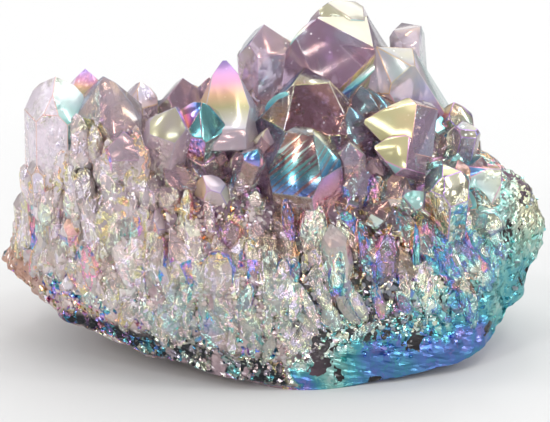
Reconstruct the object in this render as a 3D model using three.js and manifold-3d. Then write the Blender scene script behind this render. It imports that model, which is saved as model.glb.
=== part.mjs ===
// An amethyst druse: a broken piece of geode wall, 80 mm across, with a rind of rock and fine quartz
// below, a wall of fused quartz columns round its broken sides, and a bed of six-sided amethyst points
// on top. Everything grew together, so it is one closed solid.
// Millimetres, +Z up, the origin on the resting surface under the middle of the outline.
import * as THREE from "three";
import { ConvexGeometry } from "three/addons/geometries/ConvexGeometry.js";
import { mergeVertices } from "three/addons/utils/BufferGeometryUtils.js";
import Module from "manifold-3d";

const { sin, cos, tan, abs, floor, PI } = Math;
const deg = THREE.MathUtils.degToRad;
const mix = THREE.MathUtils.lerp;

// Driving dimensions.
const FRONT = -22.5; // y of the front edge where it touches the ground
const LOOK_DOWN = deg(20); // front places are measured square to a sight line this far below level
const POINT_ANGLE = deg(51.8); // between a quartz crystal's long axis and the normal of a point's face
const PRISM_SIDES = 6;
const SECTORS = 36; // steps round the body
const SEAM_ROWS = 2; // steps between two of the body's contour rings
const MIDDLE = [0.1, 0.7]; // x and y of the outline's middle before it is centred

const wasm = await Module();
wasm.setup();

// A repeatable number from 0 to 1 for a whole number n.
function chance(n) {
  const wave = sin(n * 12.9898) * 43758.5453;
  return wave - floor(wave);
}

// A place given as it looks from the front: across to the right, up the view, and back from the middle.
function seen(across, up, back) {
  const height = (up - (back - FRONT) * sin(LOOK_DOWN)) / cos(LOOK_DOWN);
  return new THREE.Vector3(across, back, height);
}

// three.js geometry to a manifold solid, and back.
function solid(geometry) {
  const bare = geometry.clone();
  bare.deleteAttribute("normal");
  bare.deleteAttribute("uv");
  const merged = mergeVertices(bare, 1e-4);
  return new wasm.Manifold(
    new wasm.Mesh({
      numProp: 3,
      vertProperties: merged.attributes.position.array,
      triVerts: new Uint32Array(merged.index.array),
    }),
  );
}

function geometryOf(made) {
  const mesh = made.getMesh();
  const geometry = new THREE.BufferGeometry();
  geometry.setAttribute("position", new THREE.BufferAttribute(mesh.vertProperties, mesh.numProp));
  geometry.setIndex(new THREE.BufferAttribute(mesh.triVerts, 1));
  return geometry;
}

// ---- The body: closed contour rings, from the flat foot up over the rim and the wall to the bed. ----
// Each ring runs anticlockwise from the right-hand end, a point every 30 degrees or so: [x, y, z].
const FOOT = [
  [24, 1, 0], [19, 9, 0], [10, 14, 0], [-1, 15, 0], [-12, 14, 0], [-20, 10, 0],
  [-24, 4, 0], [-20, -3, 0], [-12, -12, 0], [1, -22, 0], [13, -20, 0], [21, -10, 0],
];
const RIM = [
  [39.8, 3, 17], [34, 13, 13], [21, 20, 8], [3, 23.5, 7], [-16, 22, 8], [-32, 14, 10],
  [-39.6, 0, 12.5], [-32.5, -9, 7.4], [-17.5, -18, 3.6], [1, -22.8, 1.2], [25, -16.5, 1.4], [35.2, -6, 7],
];
const WALL = [
  [37, 3, 22], [31, 13, 20], [19, 19, 18], [2, 22, 17], [-15, 20.5, 18], [-30, 13, 20],
  [-35.6, -0.5, 21], [-31.5, -10, 17], [-18, -18, 13], [1, -20.8, 12], [22, -17, 12], [33, -7.5, 15],
];
const CREST = [
  [30, 2, 26], [26, 11, 27], [16, 16, 28], [3, 17, 27], [-12, 16.5, 26], [-26, 11, 28],
  [-33.5, 0, 31.5], [-30.5, -9.5, 29], [-17, -14, 26], [1, -15, 25], [15, -14, 24], [27, -7.5, 22.5],
];
const BED = [
  [17, 2, 34], [14, 7, 36], [8, 9, 36], [2, 9, 34], [-6, 9, 31], [-14, 6, 31],
  [-19, 0, 32], [-14, -5, 31], [-8, -8, 29], [1, -8, 29], [8, -7, 31], [14, -4, 32],
];
const FOOT_MIDDLE = new THREE.Vector3(0, -2, 0);
const BED_MIDDLE = new THREE.Vector3(4, 2, 36);

function closedRing(points) {
  return new THREE.CatmullRomCurve3(points.map((p) => new THREE.Vector3(...p)), true, "centripetal");
}
const RINGS = [FOOT, RIM, WALL, CREST, BED].map(closedRing);

// The body's surface: turn 0 to 1 round it, and level 0 at the foot's edge, 1 the rim, 2 the wall, 3 the
// crest, 4 the bed's ring and 5 the bed's middle.
function surface(turn, level) {
  const lower = Math.min(floor(level), RINGS.length - 1);
  const around = ((turn % 1) + 1) % 1;
  const next = lower + 1 < RINGS.length ? RINGS[lower + 1].getPoint(around) : BED_MIDDLE;
  return RINGS[lower].getPoint(around).lerp(next, level - lower);
}

// A sphere's grid pulled onto the rings: its bottom row is the foot's middle and its top row the bed's.
function body() {
  const levels = [];
  for (let ring = 0; ring < RINGS.length - 1; ring += 1) {
    const steps = ring === 0 ? 1 : SEAM_ROWS;
    for (let step = 0; step < steps; step += 1) levels.push(ring + step / steps);
  }
  levels.push(RINGS.length - 1, RINGS.length);
  const rows = levels.length;
  const geometry = new THREE.SphereGeometry(1, SECTORS, rows);
  const place = geometry.attributes.position;
  for (let row = 0; row <= rows; row += 1) {
    for (let sector = 0; sector <= SECTORS; sector += 1) {
      const fromBottom = rows - row;
      const turn = (sector % SECTORS) / SECTORS;
      const at = fromBottom === 0 ? FOOT_MIDDLE : surface(turn, levels[fromBottom - 1]);
      place.setXYZ(row * (SECTORS + 1) + sector, at.x, at.y, at.z);
    }
  }
  return solid(geometry);
}

// ---- One quartz crystal: the space inside six prism faces, a root face and six sloping point faces. ----
// tip and root are its ends, r its half width across the flats, twist turns it about its long axis from
// having a face to the front, minor pushes every second point face out, as on real quartz, steep is how
// far the point is drawn out, and blunt cuts the point off flat, as a share of its height. push and wide
// say face by face how far a point face is pushed out and how far off a prism face stands, as shares of r.
const FACING = new THREE.Vector3(0, -cos(LOOK_DOWN), sin(LOOK_DOWN));

function crystal({ tip, root, r, twist = 0, minor = 0.25, steep = 1, blunt = 0, seed = 1, push, wide }) {
  const axis = tip.clone().sub(root).normalize();
  const length = tip.distanceTo(root);
  const ahead = FACING.clone().addScaledVector(axis, -FACING.dot(axis)).normalize();
  const aside = axis.clone().cross(ahead);
  const slope = Math.atan(tan(POINT_ANGLE) * steep);
  const planes = [];
  for (let k = 0; k < PRISM_SIDES; k += 1) {
    const angle = deg(twist) + (k * PI * 2) / PRISM_SIDES;
    const out = ahead.clone().multiplyScalar(cos(angle)).addScaledVector(aside, sin(angle));
    planes.push([out, r * (wide ? wide[k] : mix(0.86, 1.1, chance(seed * 31 + k)))]);
    const pushed = push ? push[k] : (k % 2 ? minor : 0) + 0.12 * chance(seed * 17 + k);
    const normal = out.clone().multiplyScalar(sin(slope)).addScaledVector(axis, cos(slope));
    planes.push([normal, length * cos(slope) + pushed * r * sin(slope)]);
  }
  planes.push([axis.clone().negate(), 0]);
  const pointHeight = r * tan(slope);
  if (blunt) planes.push([axis.clone(), length - blunt * pointHeight]);
  const corners = [];
  for (let a = 0; a < planes.length; a += 1)
    for (let b = a + 1; b < planes.length; b += 1)
      for (let c = b + 1; c < planes.length; c += 1) {
        const corner = meeting(planes[a], planes[b], planes[c]);
        if (corner && planes.every(([n, d]) => corner.dot(n) < d + 1e-6)) corners.push(corner.add(root));
      }
  return solid(new ConvexGeometry(corners));
}

// Where three planes [normal, distance] meet, or null if they don't at one point.
function meeting([n1, d1], [n2, d2], [n3, d3]) {
  const bc = n2.clone().cross(n3);
  const volume = n1.dot(bc);
  if (abs(volume) < 1e-6) return null;
  return bc
    .multiplyScalar(d1)
    .addScaledVector(n3.clone().cross(n1), d2)
    .addScaledVector(n1.clone().cross(n2), d3)
    .divideScalar(volume);
}

// ---- The named points of the front and top, each as seen from the front. ----
// [tip across, up, back], [root across, up, back], half width, then what else sets it apart.
const POINTS = {
  left_shoulder: [[-31.6, 45.3, -8], [-31.4, 26, -6], 4.2, { twist: 30, minor: 0.6 }],
  left_rear: [[-27.4, 46.4, -1], [-27, 34, 0], 2.4, { twist: 0 }],
  left_big: [[-24.2, 45.2, -8], [-24, 28, -5], 4.9, { twist: 30, minor: 0.1 }],
  left_low: [[-21.4, 36.8, -14], [-23, 25, -9], 3, { twist: 15, minor: 0.5 }],
  left_small: [[-19.3, 44.6, 0], [-19.8, 33, 1], 2.2, { twist: 40 }],
  saddle_left: [[-13.3, 45, 2], [-13.6, 32, 3], 3.6, { twist: 20, minor: 0.6 }],
  saddle_stub: [[-9.6, 45.2, 4], [-10, 34, 4], 1.8, { twist: 0 }],
  spire: [[-6.6, 46.8, 1], [-6.2, 31, 2], 3.1, { twist: 8, steep: 1.6, minor: 0.3 }],
  lantern: [[-10.6, 41.6, -9], [-11.8, 30, -4], 3.1, { twist: 50, minor: 0.2 }],
  saddle_front: [[-14.2, 40.2, -12], [-17, 29, -8], 3, { twist: 350, minor: 0.4 }],
  inner_left: [[-4.4, 40, -2], [-4.6, 31, 0], 2.7, { twist: 30 }],
  inner_low: [[-0.6, 37.6, -8], [-1.4, 29, -5], 2.4, { twist: 10 }],
  dusk: [[5.2, 44.4, -6], [4.6, 28, -2], 6.1, { twist: 12, minor: 0.25 }],
  striped: [[4.4, 36.4, -16], [4, 23, -9], 4.6, { twist: 20, minor: 0.15, blunt: 0.2 }],
  bead: [[-2.4, 34.4, -17], [-5, 28, -12], 1.7, { twist: 0 }],
  inner_right: [[10.6, 40.4, -8], [11, 28, -4], 3.1, { twist: 40 }],
  dusk_right: [[13.6, 43.2, -2], [13, 30, 0], 4.3, { twist: 25 }],
  chip: [[10.6, 35.2, -14], [11, 26, -9], 1.9, { twist: 0 }],
  summit: [
    [0.6, 56.3, 2], [11, 42.3, 12.8], 9.6,
    { twist: 11, push: [0, 0, -0.35, -0.76, 0.02, 0], wide: [1, 0.95, 0.6, 0.45, 0.95, 1] },
  ],
  summit_rear: [
    [4.6, 58.4, 6.4], [12, 46, 14], 6.6,
    { twist: 11, push: [0.1, 0, -0.3, -0.75, -0.3, 0], wide: [0.8, 0.9, 0.5, 0.3, 0.9, 1] },
  ],
  summit_left: [[-1.4, 52.4, 3], [-1.4, 34, 5], 3.5, { twist: 20, minor: 0.5 }],
  summit_left_rear: [[-3.2, 50.6, 7], [-2.4, 36, 7], 2.2, { twist: 45 }],
  tower: [[19.4, 54, 10], [19.8, 38, 9], 2.4, { twist: 30, blunt: 0.7 }],
  slope: [
    [14, 50.2, 2], [25.5, 33.6, 13], 4.8,
    { twist: 11, push: [0.1, 0, -0.2, -0.3, 0, 0], wide: [0.9, 0.9, 0.8, 0.6, 0.9, 1] },
  ],
  inner_rear: [[-3.4, 43.6, 2], [-3, 32, 3], 3, { twist: 35 }],
  inner_mid: [[0.6, 42, -1], [0.4, 30, 1], 2.6, { twist: 5 }],
  hollow_right: [[12.4, 43.4, -5], [12, 30, -2], 2.8, { twist: 20 }],
  rib_left: [[-12.6, 28.6, -18.5], [-12, 19, -16], 1.5, { twist: 0 }],
  rib_right: [[16.2, 24.4, -20.5], [17, 13, -17], 2.1, { twist: 25 }],
  yellow: [[19.6, 41.2, -7], [17.8, 26, -3], 4.6, { twist: 335, minor: 0.35 }],
  yellow_low: [[19.6, 36.2, -10], [18.4, 25, -6], 3, { twist: 340, minor: 0.3 }],
  knob: [[28.2, 39.4, 0], [26.4, 29, 2], 1.9, { twist: 10, blunt: 0.5 }],
  right_shoulder: [[33.4, 31, -1], [24, 24, 3], 3.7, { twist: 20, minor: 0.3 }],
  lamp: [[25, 32, -13], [24.4, 18, -6], 3.3, { twist: 30, blunt: 0.2 }],
  diamond: [[33, 23.4, -11], [27, 25, -4], 1.9, { twist: 0 }],
  glint: [[14.8, 31.8, -17.5], [14.4, 19, -12], 2.4, { twist: 20 }],
  panel: [[5.4, 28, -20.4], [5.2, 15, -17], 2.3, { twist: 0, minor: 0.5 }],
};

function namedPoints() {
  return Object.values(POINTS).map(([tip, root, r, more], n) =>
    crystal({ tip: seen(...tip), root: seen(...root), r, seed: n + 1, ...more }),
  );
}

// ---- Rows of unnamed points: fused columns side by side in the broken wall, and the rest of the bed. ----
// from and to are turns round the body, root and tip are levels on it, and out and rise say how far a
// tip stands off the surface and above it.
const ROWS = [
  { count: 20, from: 0, to: 1, root: 1.15, tip: 2.0, r: 1.9, out: 0.7, rise: 0, seed: 100 },
  { count: 23, from: 0.02, to: 1.02, root: 1.6, tip: 2.6, r: 2.3, out: 0.9, rise: 0, seed: 200 },
  { count: 23, from: 0, to: 1, root: 2.2, tip: 3.1, r: 2.7, out: 1, rise: 1, seed: 300 },
  { count: 9, from: 0.02, to: 0.5, root: 3.1, tip: 3.2, r: 3.1, out: 0, rise: 5, seed: 400 },
  { count: 7, from: 0.06, to: 0.48, root: 3.6, tip: 3.6, r: 3.3, out: 0, rise: 5, seed: 500 },
  { count: 9, from: 0.54, to: 0.96, root: 3.3, tip: 3.3, r: 2.4, out: 0, rise: 4.5, seed: 600 },
  { count: 5, from: 0.56, to: 0.9, root: 3.8, tip: 3.8, r: 2.6, out: 0, rise: 4.5, seed: 700 },
  { count: 4, from: 0.1, to: 0.32, root: 3.5, tip: 3.4, r: 4, out: 1.5, rise: 10, seed: 800 },
  { count: 6, from: 0.26, to: 0.86, root: 4.4, tip: 4.4, r: 2.8, out: 0, rise: 4, seed: 900 },
];
const SINK = 2; // how deep a row's roots are sunk in the body
const WANDER = 0.5; // how far a point strays along its row, as a share of the spacing

function rowOfPoints({ count, from, to, root, tip, r, out, rise, seed }) {
  const made = [];
  for (let n = 0; n < count; n += 1) {
    const draw = (k) => chance(seed + n + 40 * k);
    const turn = mix(from, to, (n + WANDER * (draw(1) - 0.5)) / count);
    const low = surface(turn, root);
    const high = surface(turn + 0.02 * (draw(2) - 0.5), tip + 0.3 * (draw(3) - 0.5));
    const away = new THREE.Vector3(low.x, low.y, 0).normalize();
    low.addScaledVector(away, -SINK).setZ(low.z - (rise ? SINK : 0));
    high.addScaledVector(away, out * mix(0.6, 1.4, draw(4))).setZ(high.z + rise * mix(0.7, 1.3, draw(5)));
    made.push(crystal({ tip: high, root: low, r: r * mix(0.8, 1.2, draw(6)), twist: 60 * draw(7), seed: seed + n }));
  }
  return made;
}

// ---- The druse. ----
const AMETHYST = new THREE.MeshStandardMaterial({ color: 0xc3a9bf, roughness: 0.2, metalness: 0.1 });

// Points that lean together shut small hollows under them, where the druse is solid, so of the skins that
// the union is made of only the outer one is kept.
const grown = wasm.Manifold.union([body(), ...namedPoints(), ...ROWS.flatMap(rowOfPoints)]);
const skins = grown.decompose().sort((a, b) => b.volume() - a.volume());
const centred = skins[0].translate([-MIDDLE[0], -MIDDLE[1], 0]);

const druse = new THREE.Mesh(geometryOf(centred), AMETHYST);
druse.name = "druse";

const part = new THREE.Group();
part.add(druse);
export default part;
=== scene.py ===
# %% [markdown]
# # An amethyst druse with an iridescent coat
# A druse is a bed of crystals on a broken piece of geode wall. This one is amethyst whose points were
# coated with a metal film a few hundred nanometres thick, so clear purple quartz and rainbow mirror show
# on one facet. The lesson cuts every crystal from a block with flat planes, fuses them, grows fine
# quartz over the rock, and builds the clear, coated and rocky finishes from nodes.

import math

import bmesh
import bpy
from mathutils import Matrix, Vector, noise
from mathutils.bvhtree import BVHTree


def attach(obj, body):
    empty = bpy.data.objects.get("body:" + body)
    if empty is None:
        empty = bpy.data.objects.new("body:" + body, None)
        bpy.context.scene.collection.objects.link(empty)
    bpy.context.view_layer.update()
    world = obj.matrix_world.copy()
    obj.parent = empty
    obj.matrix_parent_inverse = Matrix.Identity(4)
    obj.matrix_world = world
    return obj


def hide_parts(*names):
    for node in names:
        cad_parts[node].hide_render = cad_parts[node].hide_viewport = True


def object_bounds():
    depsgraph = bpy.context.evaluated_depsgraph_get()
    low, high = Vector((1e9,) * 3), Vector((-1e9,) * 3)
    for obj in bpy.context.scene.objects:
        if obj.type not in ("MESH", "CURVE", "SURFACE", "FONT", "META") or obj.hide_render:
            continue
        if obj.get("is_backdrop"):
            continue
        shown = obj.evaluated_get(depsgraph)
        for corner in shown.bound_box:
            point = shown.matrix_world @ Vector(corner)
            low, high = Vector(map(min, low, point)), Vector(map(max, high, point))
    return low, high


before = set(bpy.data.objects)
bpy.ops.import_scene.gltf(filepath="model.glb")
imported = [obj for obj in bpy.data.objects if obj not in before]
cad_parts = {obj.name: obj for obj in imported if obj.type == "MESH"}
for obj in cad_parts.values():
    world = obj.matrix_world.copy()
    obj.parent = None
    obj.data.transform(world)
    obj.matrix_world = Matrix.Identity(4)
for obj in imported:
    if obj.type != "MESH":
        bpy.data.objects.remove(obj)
cad_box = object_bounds()
print("the packed druse fills", [round(1000 * (high - low), 1) for low, high in zip(*cad_box)], "mm")

# %% [markdown]
# ## The camera
# A long lens from well back keeps the crystals' sides nearly parallel, as in studio work. The camera
# looks down by 20 degrees. A place on the druse is given as it looks from there: millimetres across,
# millimetres up the view, and millimetres back, and `seen` turns that into metres in the frame.

# %% Camera and the way that places are given
MM = 0.001
LOOK_DOWN = math.radians(20)
FRONT = -22.5  # y of the front edge where it touches the ground, in mm
MIDDLE = Vector((0.1, 0.7, 0))  # the outline's middle, in mm
PICTURE_WIDTH = 80.6 * MM  # how much the picture takes in at the middle of the druse
AIM_UP = 25.6  # mm up the view, the picture's centre
CAMERA_AWAY = 0.6
CLIP_START = 0.05
SENSOR = 36  # mm


def seen(across, up, back):
    height = (up - (back - FRONT) * math.sin(LOOK_DOWN)) / math.cos(LOOK_DOWN)
    return (Vector((across, back, height)) - MIDDLE) * MM


camera = bpy.data.objects.new("camera", bpy.data.cameras.new("camera"))
bpy.context.scene.collection.objects.link(camera)
camera.data.sensor_width = SENSOR
camera.data.lens = SENSOR * CAMERA_AWAY / PICTURE_WIDTH
camera.data.clip_start = CLIP_START
to_camera = Vector((0, -math.cos(LOOK_DOWN), math.sin(LOOK_DOWN)))
camera.location = seen(MIDDLE.x, AIM_UP, 0) + to_camera * CAMERA_AWAY
camera.rotation_euler = (math.pi / 2 - LOOK_DOWN, 0, 0)
bpy.context.scene.camera = camera
print("lens", round(camera.data.lens), "mm")

# %% [markdown]
# ## The druse's body
# Closed contour rings, from the flat foot up over the rim and the wall to the bed, are the same ones
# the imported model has. Any place on the body is a turn round it and a level between the rings, so a
# crystal can be rooted anywhere.

# %% Contour rings
FOOT = [(24, 1, 0), (19, 9, 0), (10, 14, 0), (-1, 15, 0), (-12, 14, 0), (-20, 10, 0),
        (-24, 4, 0), (-20, -3, 0), (-12, -12, 0), (1, -22, 0), (13, -20, 0), (21, -10, 0)]
RIM = [(39.8, 3, 17), (34, 13, 13), (21, 20, 8), (3, 23.5, 7), (-16, 22, 8), (-32, 14, 10),
       (-39.6, 0, 12.5), (-32.5, -9, 7.4), (-17.5, -18, 3.6), (1, -22.8, 1.2), (25, -16.5, 1.4),
       (35.2, -6, 7)]
WALL = [(37, 3, 22), (31, 13, 20), (19, 19, 18), (2, 22, 17), (-15, 20.5, 18), (-30, 13, 20),
        (-35.6, -0.5, 21), (-31.5, -10, 17), (-18, -18, 13), (1, -20.8, 12), (22, -17, 12), (33, -7.5, 15)]
CREST = [(30, 2, 26), (26, 11, 27), (16, 16, 28), (3, 17, 27), (-12, 16.5, 26), (-26, 11, 28),
         (-33.5, 0, 31.5), (-30.5, -9.5, 29), (-17, -14, 26), (1, -15, 25), (15, -14, 24), (27, -7.5, 22.5)]
BED = [(17, 2, 34), (14, 7, 36), (8, 9, 36), (2, 9, 34), (-6, 9, 31), (-14, 6, 31),
       (-19, 0, 32), (-14, -5, 31), (-8, -8, 29), (1, -8, 29), (8, -7, 31), (14, -4, 32)]
RINGS = [[Vector(place) for place in ring] for ring in (FOOT, RIM, WALL, CREST, BED)]
BED_MIDDLE = Vector((4, 2, 36))


def along_ring(ring, turn):
    """A smooth closed curve through the ring's places, at a turn from 0 to 1."""
    step = (turn % 1) * len(ring)
    first, t = int(step), step % 1
    before, here, after, beyond = (ring[(first + k) % len(ring)] for k in (-1, 0, 1, 2))
    return 0.5 * (2 * here + (after - before) * t + (2 * before - 5 * here + 4 * after - beyond) * t**2
                  + (3 * here - before - 3 * after + beyond) * t**3)


def surface(turn, level):
    """A place on the body in mm. Level 0 is the foot, then rim, wall, crest, bed and the bed's middle."""
    lower = min(int(level), len(RINGS) - 1)
    low = along_ring(RINGS[lower], turn)
    high = along_ring(RINGS[lower + 1], turn) if lower + 1 < len(RINGS) else BED_MIDDLE
    return low.lerp(high, level - lower)


rim = RINGS[1]
print("the rim is", round(along_ring(rim, 0).x - along_ring(rim, 0.5).x, 1), "mm long")

# %% [markdown]
# ## One quartz crystal
# A quartz crystal is a six-sided prism whose point has six sloping faces, each 51.8 degrees off the long
# axis. A cone with six sides gives equal faces, which real quartz never has. Cleaving a block with one
# plane a face, as a cutter would, lets every face stand nearer or further off, so that three of the
# point's faces grow large and three stay small, and no two crystals match.

# %% Cut one crystal
POINT_ANGLE = math.radians(51.8)
BLOCK = 4  # the block that a crystal is cut from, in crystal lengths
EDGE = 0.08 * MM  # the width that an edge is worn by
WORN_SHARE = 0.12  # or this share of the crystal's half width, where that is less
SIDE_SPREAD = (0.86, 1.1)  # how far the prism's faces stand from the axis, in shares of r
POINT_SPREAD = 0.12  # how unequal the point's faces are
KEEL_SPREAD = 0.1
STEADY = 0.03  # how fast a usual coat changes at most, in turns of its colours to the mm
EDGE_FILM = (0.3, 0.85)
EDGE_HUE = (0.05, 0.4)
# what every facet carries for its finish: the coat's colour, how fast that changes down the crystal, how
# opaque the coat is, how wrinkled, how milky and how striped the facet is, how violet its crystal's tip is
# and how long the crystal is in mm; then the tip and the way the crystal points
FACE_NUMBERS = ("hue", "rate", "film", "rough", "haze", "ruled", "violet", "long")
FACE_PLACES = ("tip", "axis")


def chance(n):
    """A repeatable number from 0 to 1 for a whole number n."""
    wave = math.sin(n * 12.9898) * 43758.5453
    return wave - math.floor(wave)


def mix(low, high, share):
    return low + (high - low) * share


def climb(value, start, end):
    """0 at the start, 1 at the end and a straight line between."""
    return min(1, max(0, (value - start) / (end - start)))


COMMON = 0.68  # the share of facets that have their region's usual colour
LEFT_HUES, RIGHT_HUES = (0.82, 0.26), (0.54, 0.28)  # the first of the usual colours, and how many


def usual_hue(x, draw):
    """The coat is mostly cream and pink at the left, pale blue in the middle and teal at the right."""
    if draw > COMMON:
        return (draw - COMMON) / (1 - COMMON)
    share = climb(x / MM, -20, 25)
    first, count = (mix(left, right, share) for left, right in zip(LEFT_HUES, RIGHT_HUES))
    return first + count * draw / COMMON


def face_notes(shape):
    layers = {name: shape.faces.layers.float.new(name) for name in FACE_NUMBERS}
    layers.update({name: shape.faces.layers.float_vector.new(name) for name in FACE_PLACES})
    return layers


def cleave(crystal, place, out):
    """Cuts away what lies beyond a plane and closes the cut with a face, which it returns."""
    everything = crystal.verts[:] + crystal.edges[:] + crystal.faces[:]
    cut = bmesh.ops.bisect_plane(crystal, geom=everything, plane_co=place, plane_no=out, clear_outer=True)
    edges = [e for e in cut["geom_cut"] if isinstance(e, bmesh.types.BMEdge)]
    return bmesh.ops.contextual_create(crystal, geom=edges)["faces"] if edges else []


def cut_crystal(tip, root, r, twist=0, minor=0.25, steep=1, blunt=0, keel=0, seed=1, push=None, wide=None,
                coats=None, edge=EDGE):
    """A mesh of one crystal, in metres. r is half its width, minor how far every second point face is
    pushed out, steep how far the point is drawn out, blunt how much of the point is missing and keel how
    far the root end is drawn out to a point too. push and wide give the point faces' and the prism faces'
    places one by one, in shares of r, and coats gives the coat of one face or another."""
    axis, length = (tip - root).normalized(), (tip - root).length
    ahead = (to_camera - axis * to_camera.dot(axis)).normalized()
    aside = axis.cross(ahead)
    slope = math.atan(math.tan(POINT_ANGLE) * steep)
    crystal = bmesh.new()
    layers = face_notes(crystal)
    bmesh.ops.create_cube(crystal, size=BLOCK * length, matrix=Matrix.Translation((tip + root) / 2))
    planes = [("foot", root, -axis)]
    coats = coats or {}
    clouded = coats.get("cloud", chance(seed * 3 + 1))
    coarse = coats.get("coarse", min(1, 2 * chance(seed * 3 + 2)))
    for k in range(6):
        angle = math.radians(twist + 60 * k)
        out = ahead * math.cos(angle) + aside * math.sin(angle)
        width = r * (wide[k] if wide else mix(*SIDE_SPREAD, chance(seed * 31 + k)))
        planes.append((f"side{k}", root + out * width, out))
        pushed = push[k] if push else (minor if k % 2 else 0) + POINT_SPREAD * chance(seed * 17 + k)
        normal = out * math.sin(slope) + axis * math.cos(slope)
        planes.append((k, tip + normal * pushed * r * math.sin(slope), normal))
        if keel:
            down = out * math.sin(keel) - axis * math.cos(keel)
            planes.append((f"keel{k}", root + down * KEEL_SPREAD * r * chance(seed * 13 + k), down))
    if blunt:
        planes.append(("top", tip - axis * blunt * r * math.tan(slope), axis))
    for n, (name, place, normal) in enumerate(planes):
        draws = [chance(seed * 7 + 31 * n + 101 * k) for k in range(3)]
        usual = usual_hue(tip.x, draws[0]), mix(-STEADY, STEADY, draws[1]), draws[2] ** 1.4
        hue, rate, strength, *ruled = coats.get(name, usual)
        point_face = name == "top" or isinstance(name, int)
        for face in cleave(crystal, place, normal):
            face[layers["hue"]], face[layers["rate"]], face[layers["film"]] = hue, rate, strength
            face[layers["rough"]] = 0.25 * draws[1] if point_face else coarse * mix(0.6, 1, draws[0])
            face[layers["haze"]] = clouded
            face[layers["ruled"]] = ruled[0] if ruled else 0
    chamfer = min(WORN_SHARE * r, edge)
    worn = bmesh.ops.bevel(crystal, geom=crystal.edges[:], offset=chamfer, segments=1, profile=0.5,
                           affect="EDGES", material=-1, clamp_overlap=True)
    for face in worn["faces"]:
        face[layers["rough"]] = 0
        face[layers["film"]] = mix(*EDGE_FILM, chance(seed * 11))
        face[layers["hue"]] = mix(*EDGE_HUE, chance(seed * 5))
    for face in crystal.faces:
        face[layers["tip"]], face[layers["axis"]] = tip, axis
        face[layers["violet"]], face[layers["long"]] = 1, length / MM
    return crystal


trial = cut_crystal(Vector((0, 0, 0.02)), Vector(), 0.004)
print("one crystal has", len(trial.faces), "faces, closed:", all(e.is_manifold for e in trial.edges))
trial.free()

# %% [markdown]
# ## The named points
# Some thirty large points make the druse's outline and catch the eye, so each has a line of its own: where
# its tip and its root are as seen from the front, how thick it is, and how it differs from the usual
# point. A scatter would give a druse of this kind, and a table gives this one.

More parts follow.
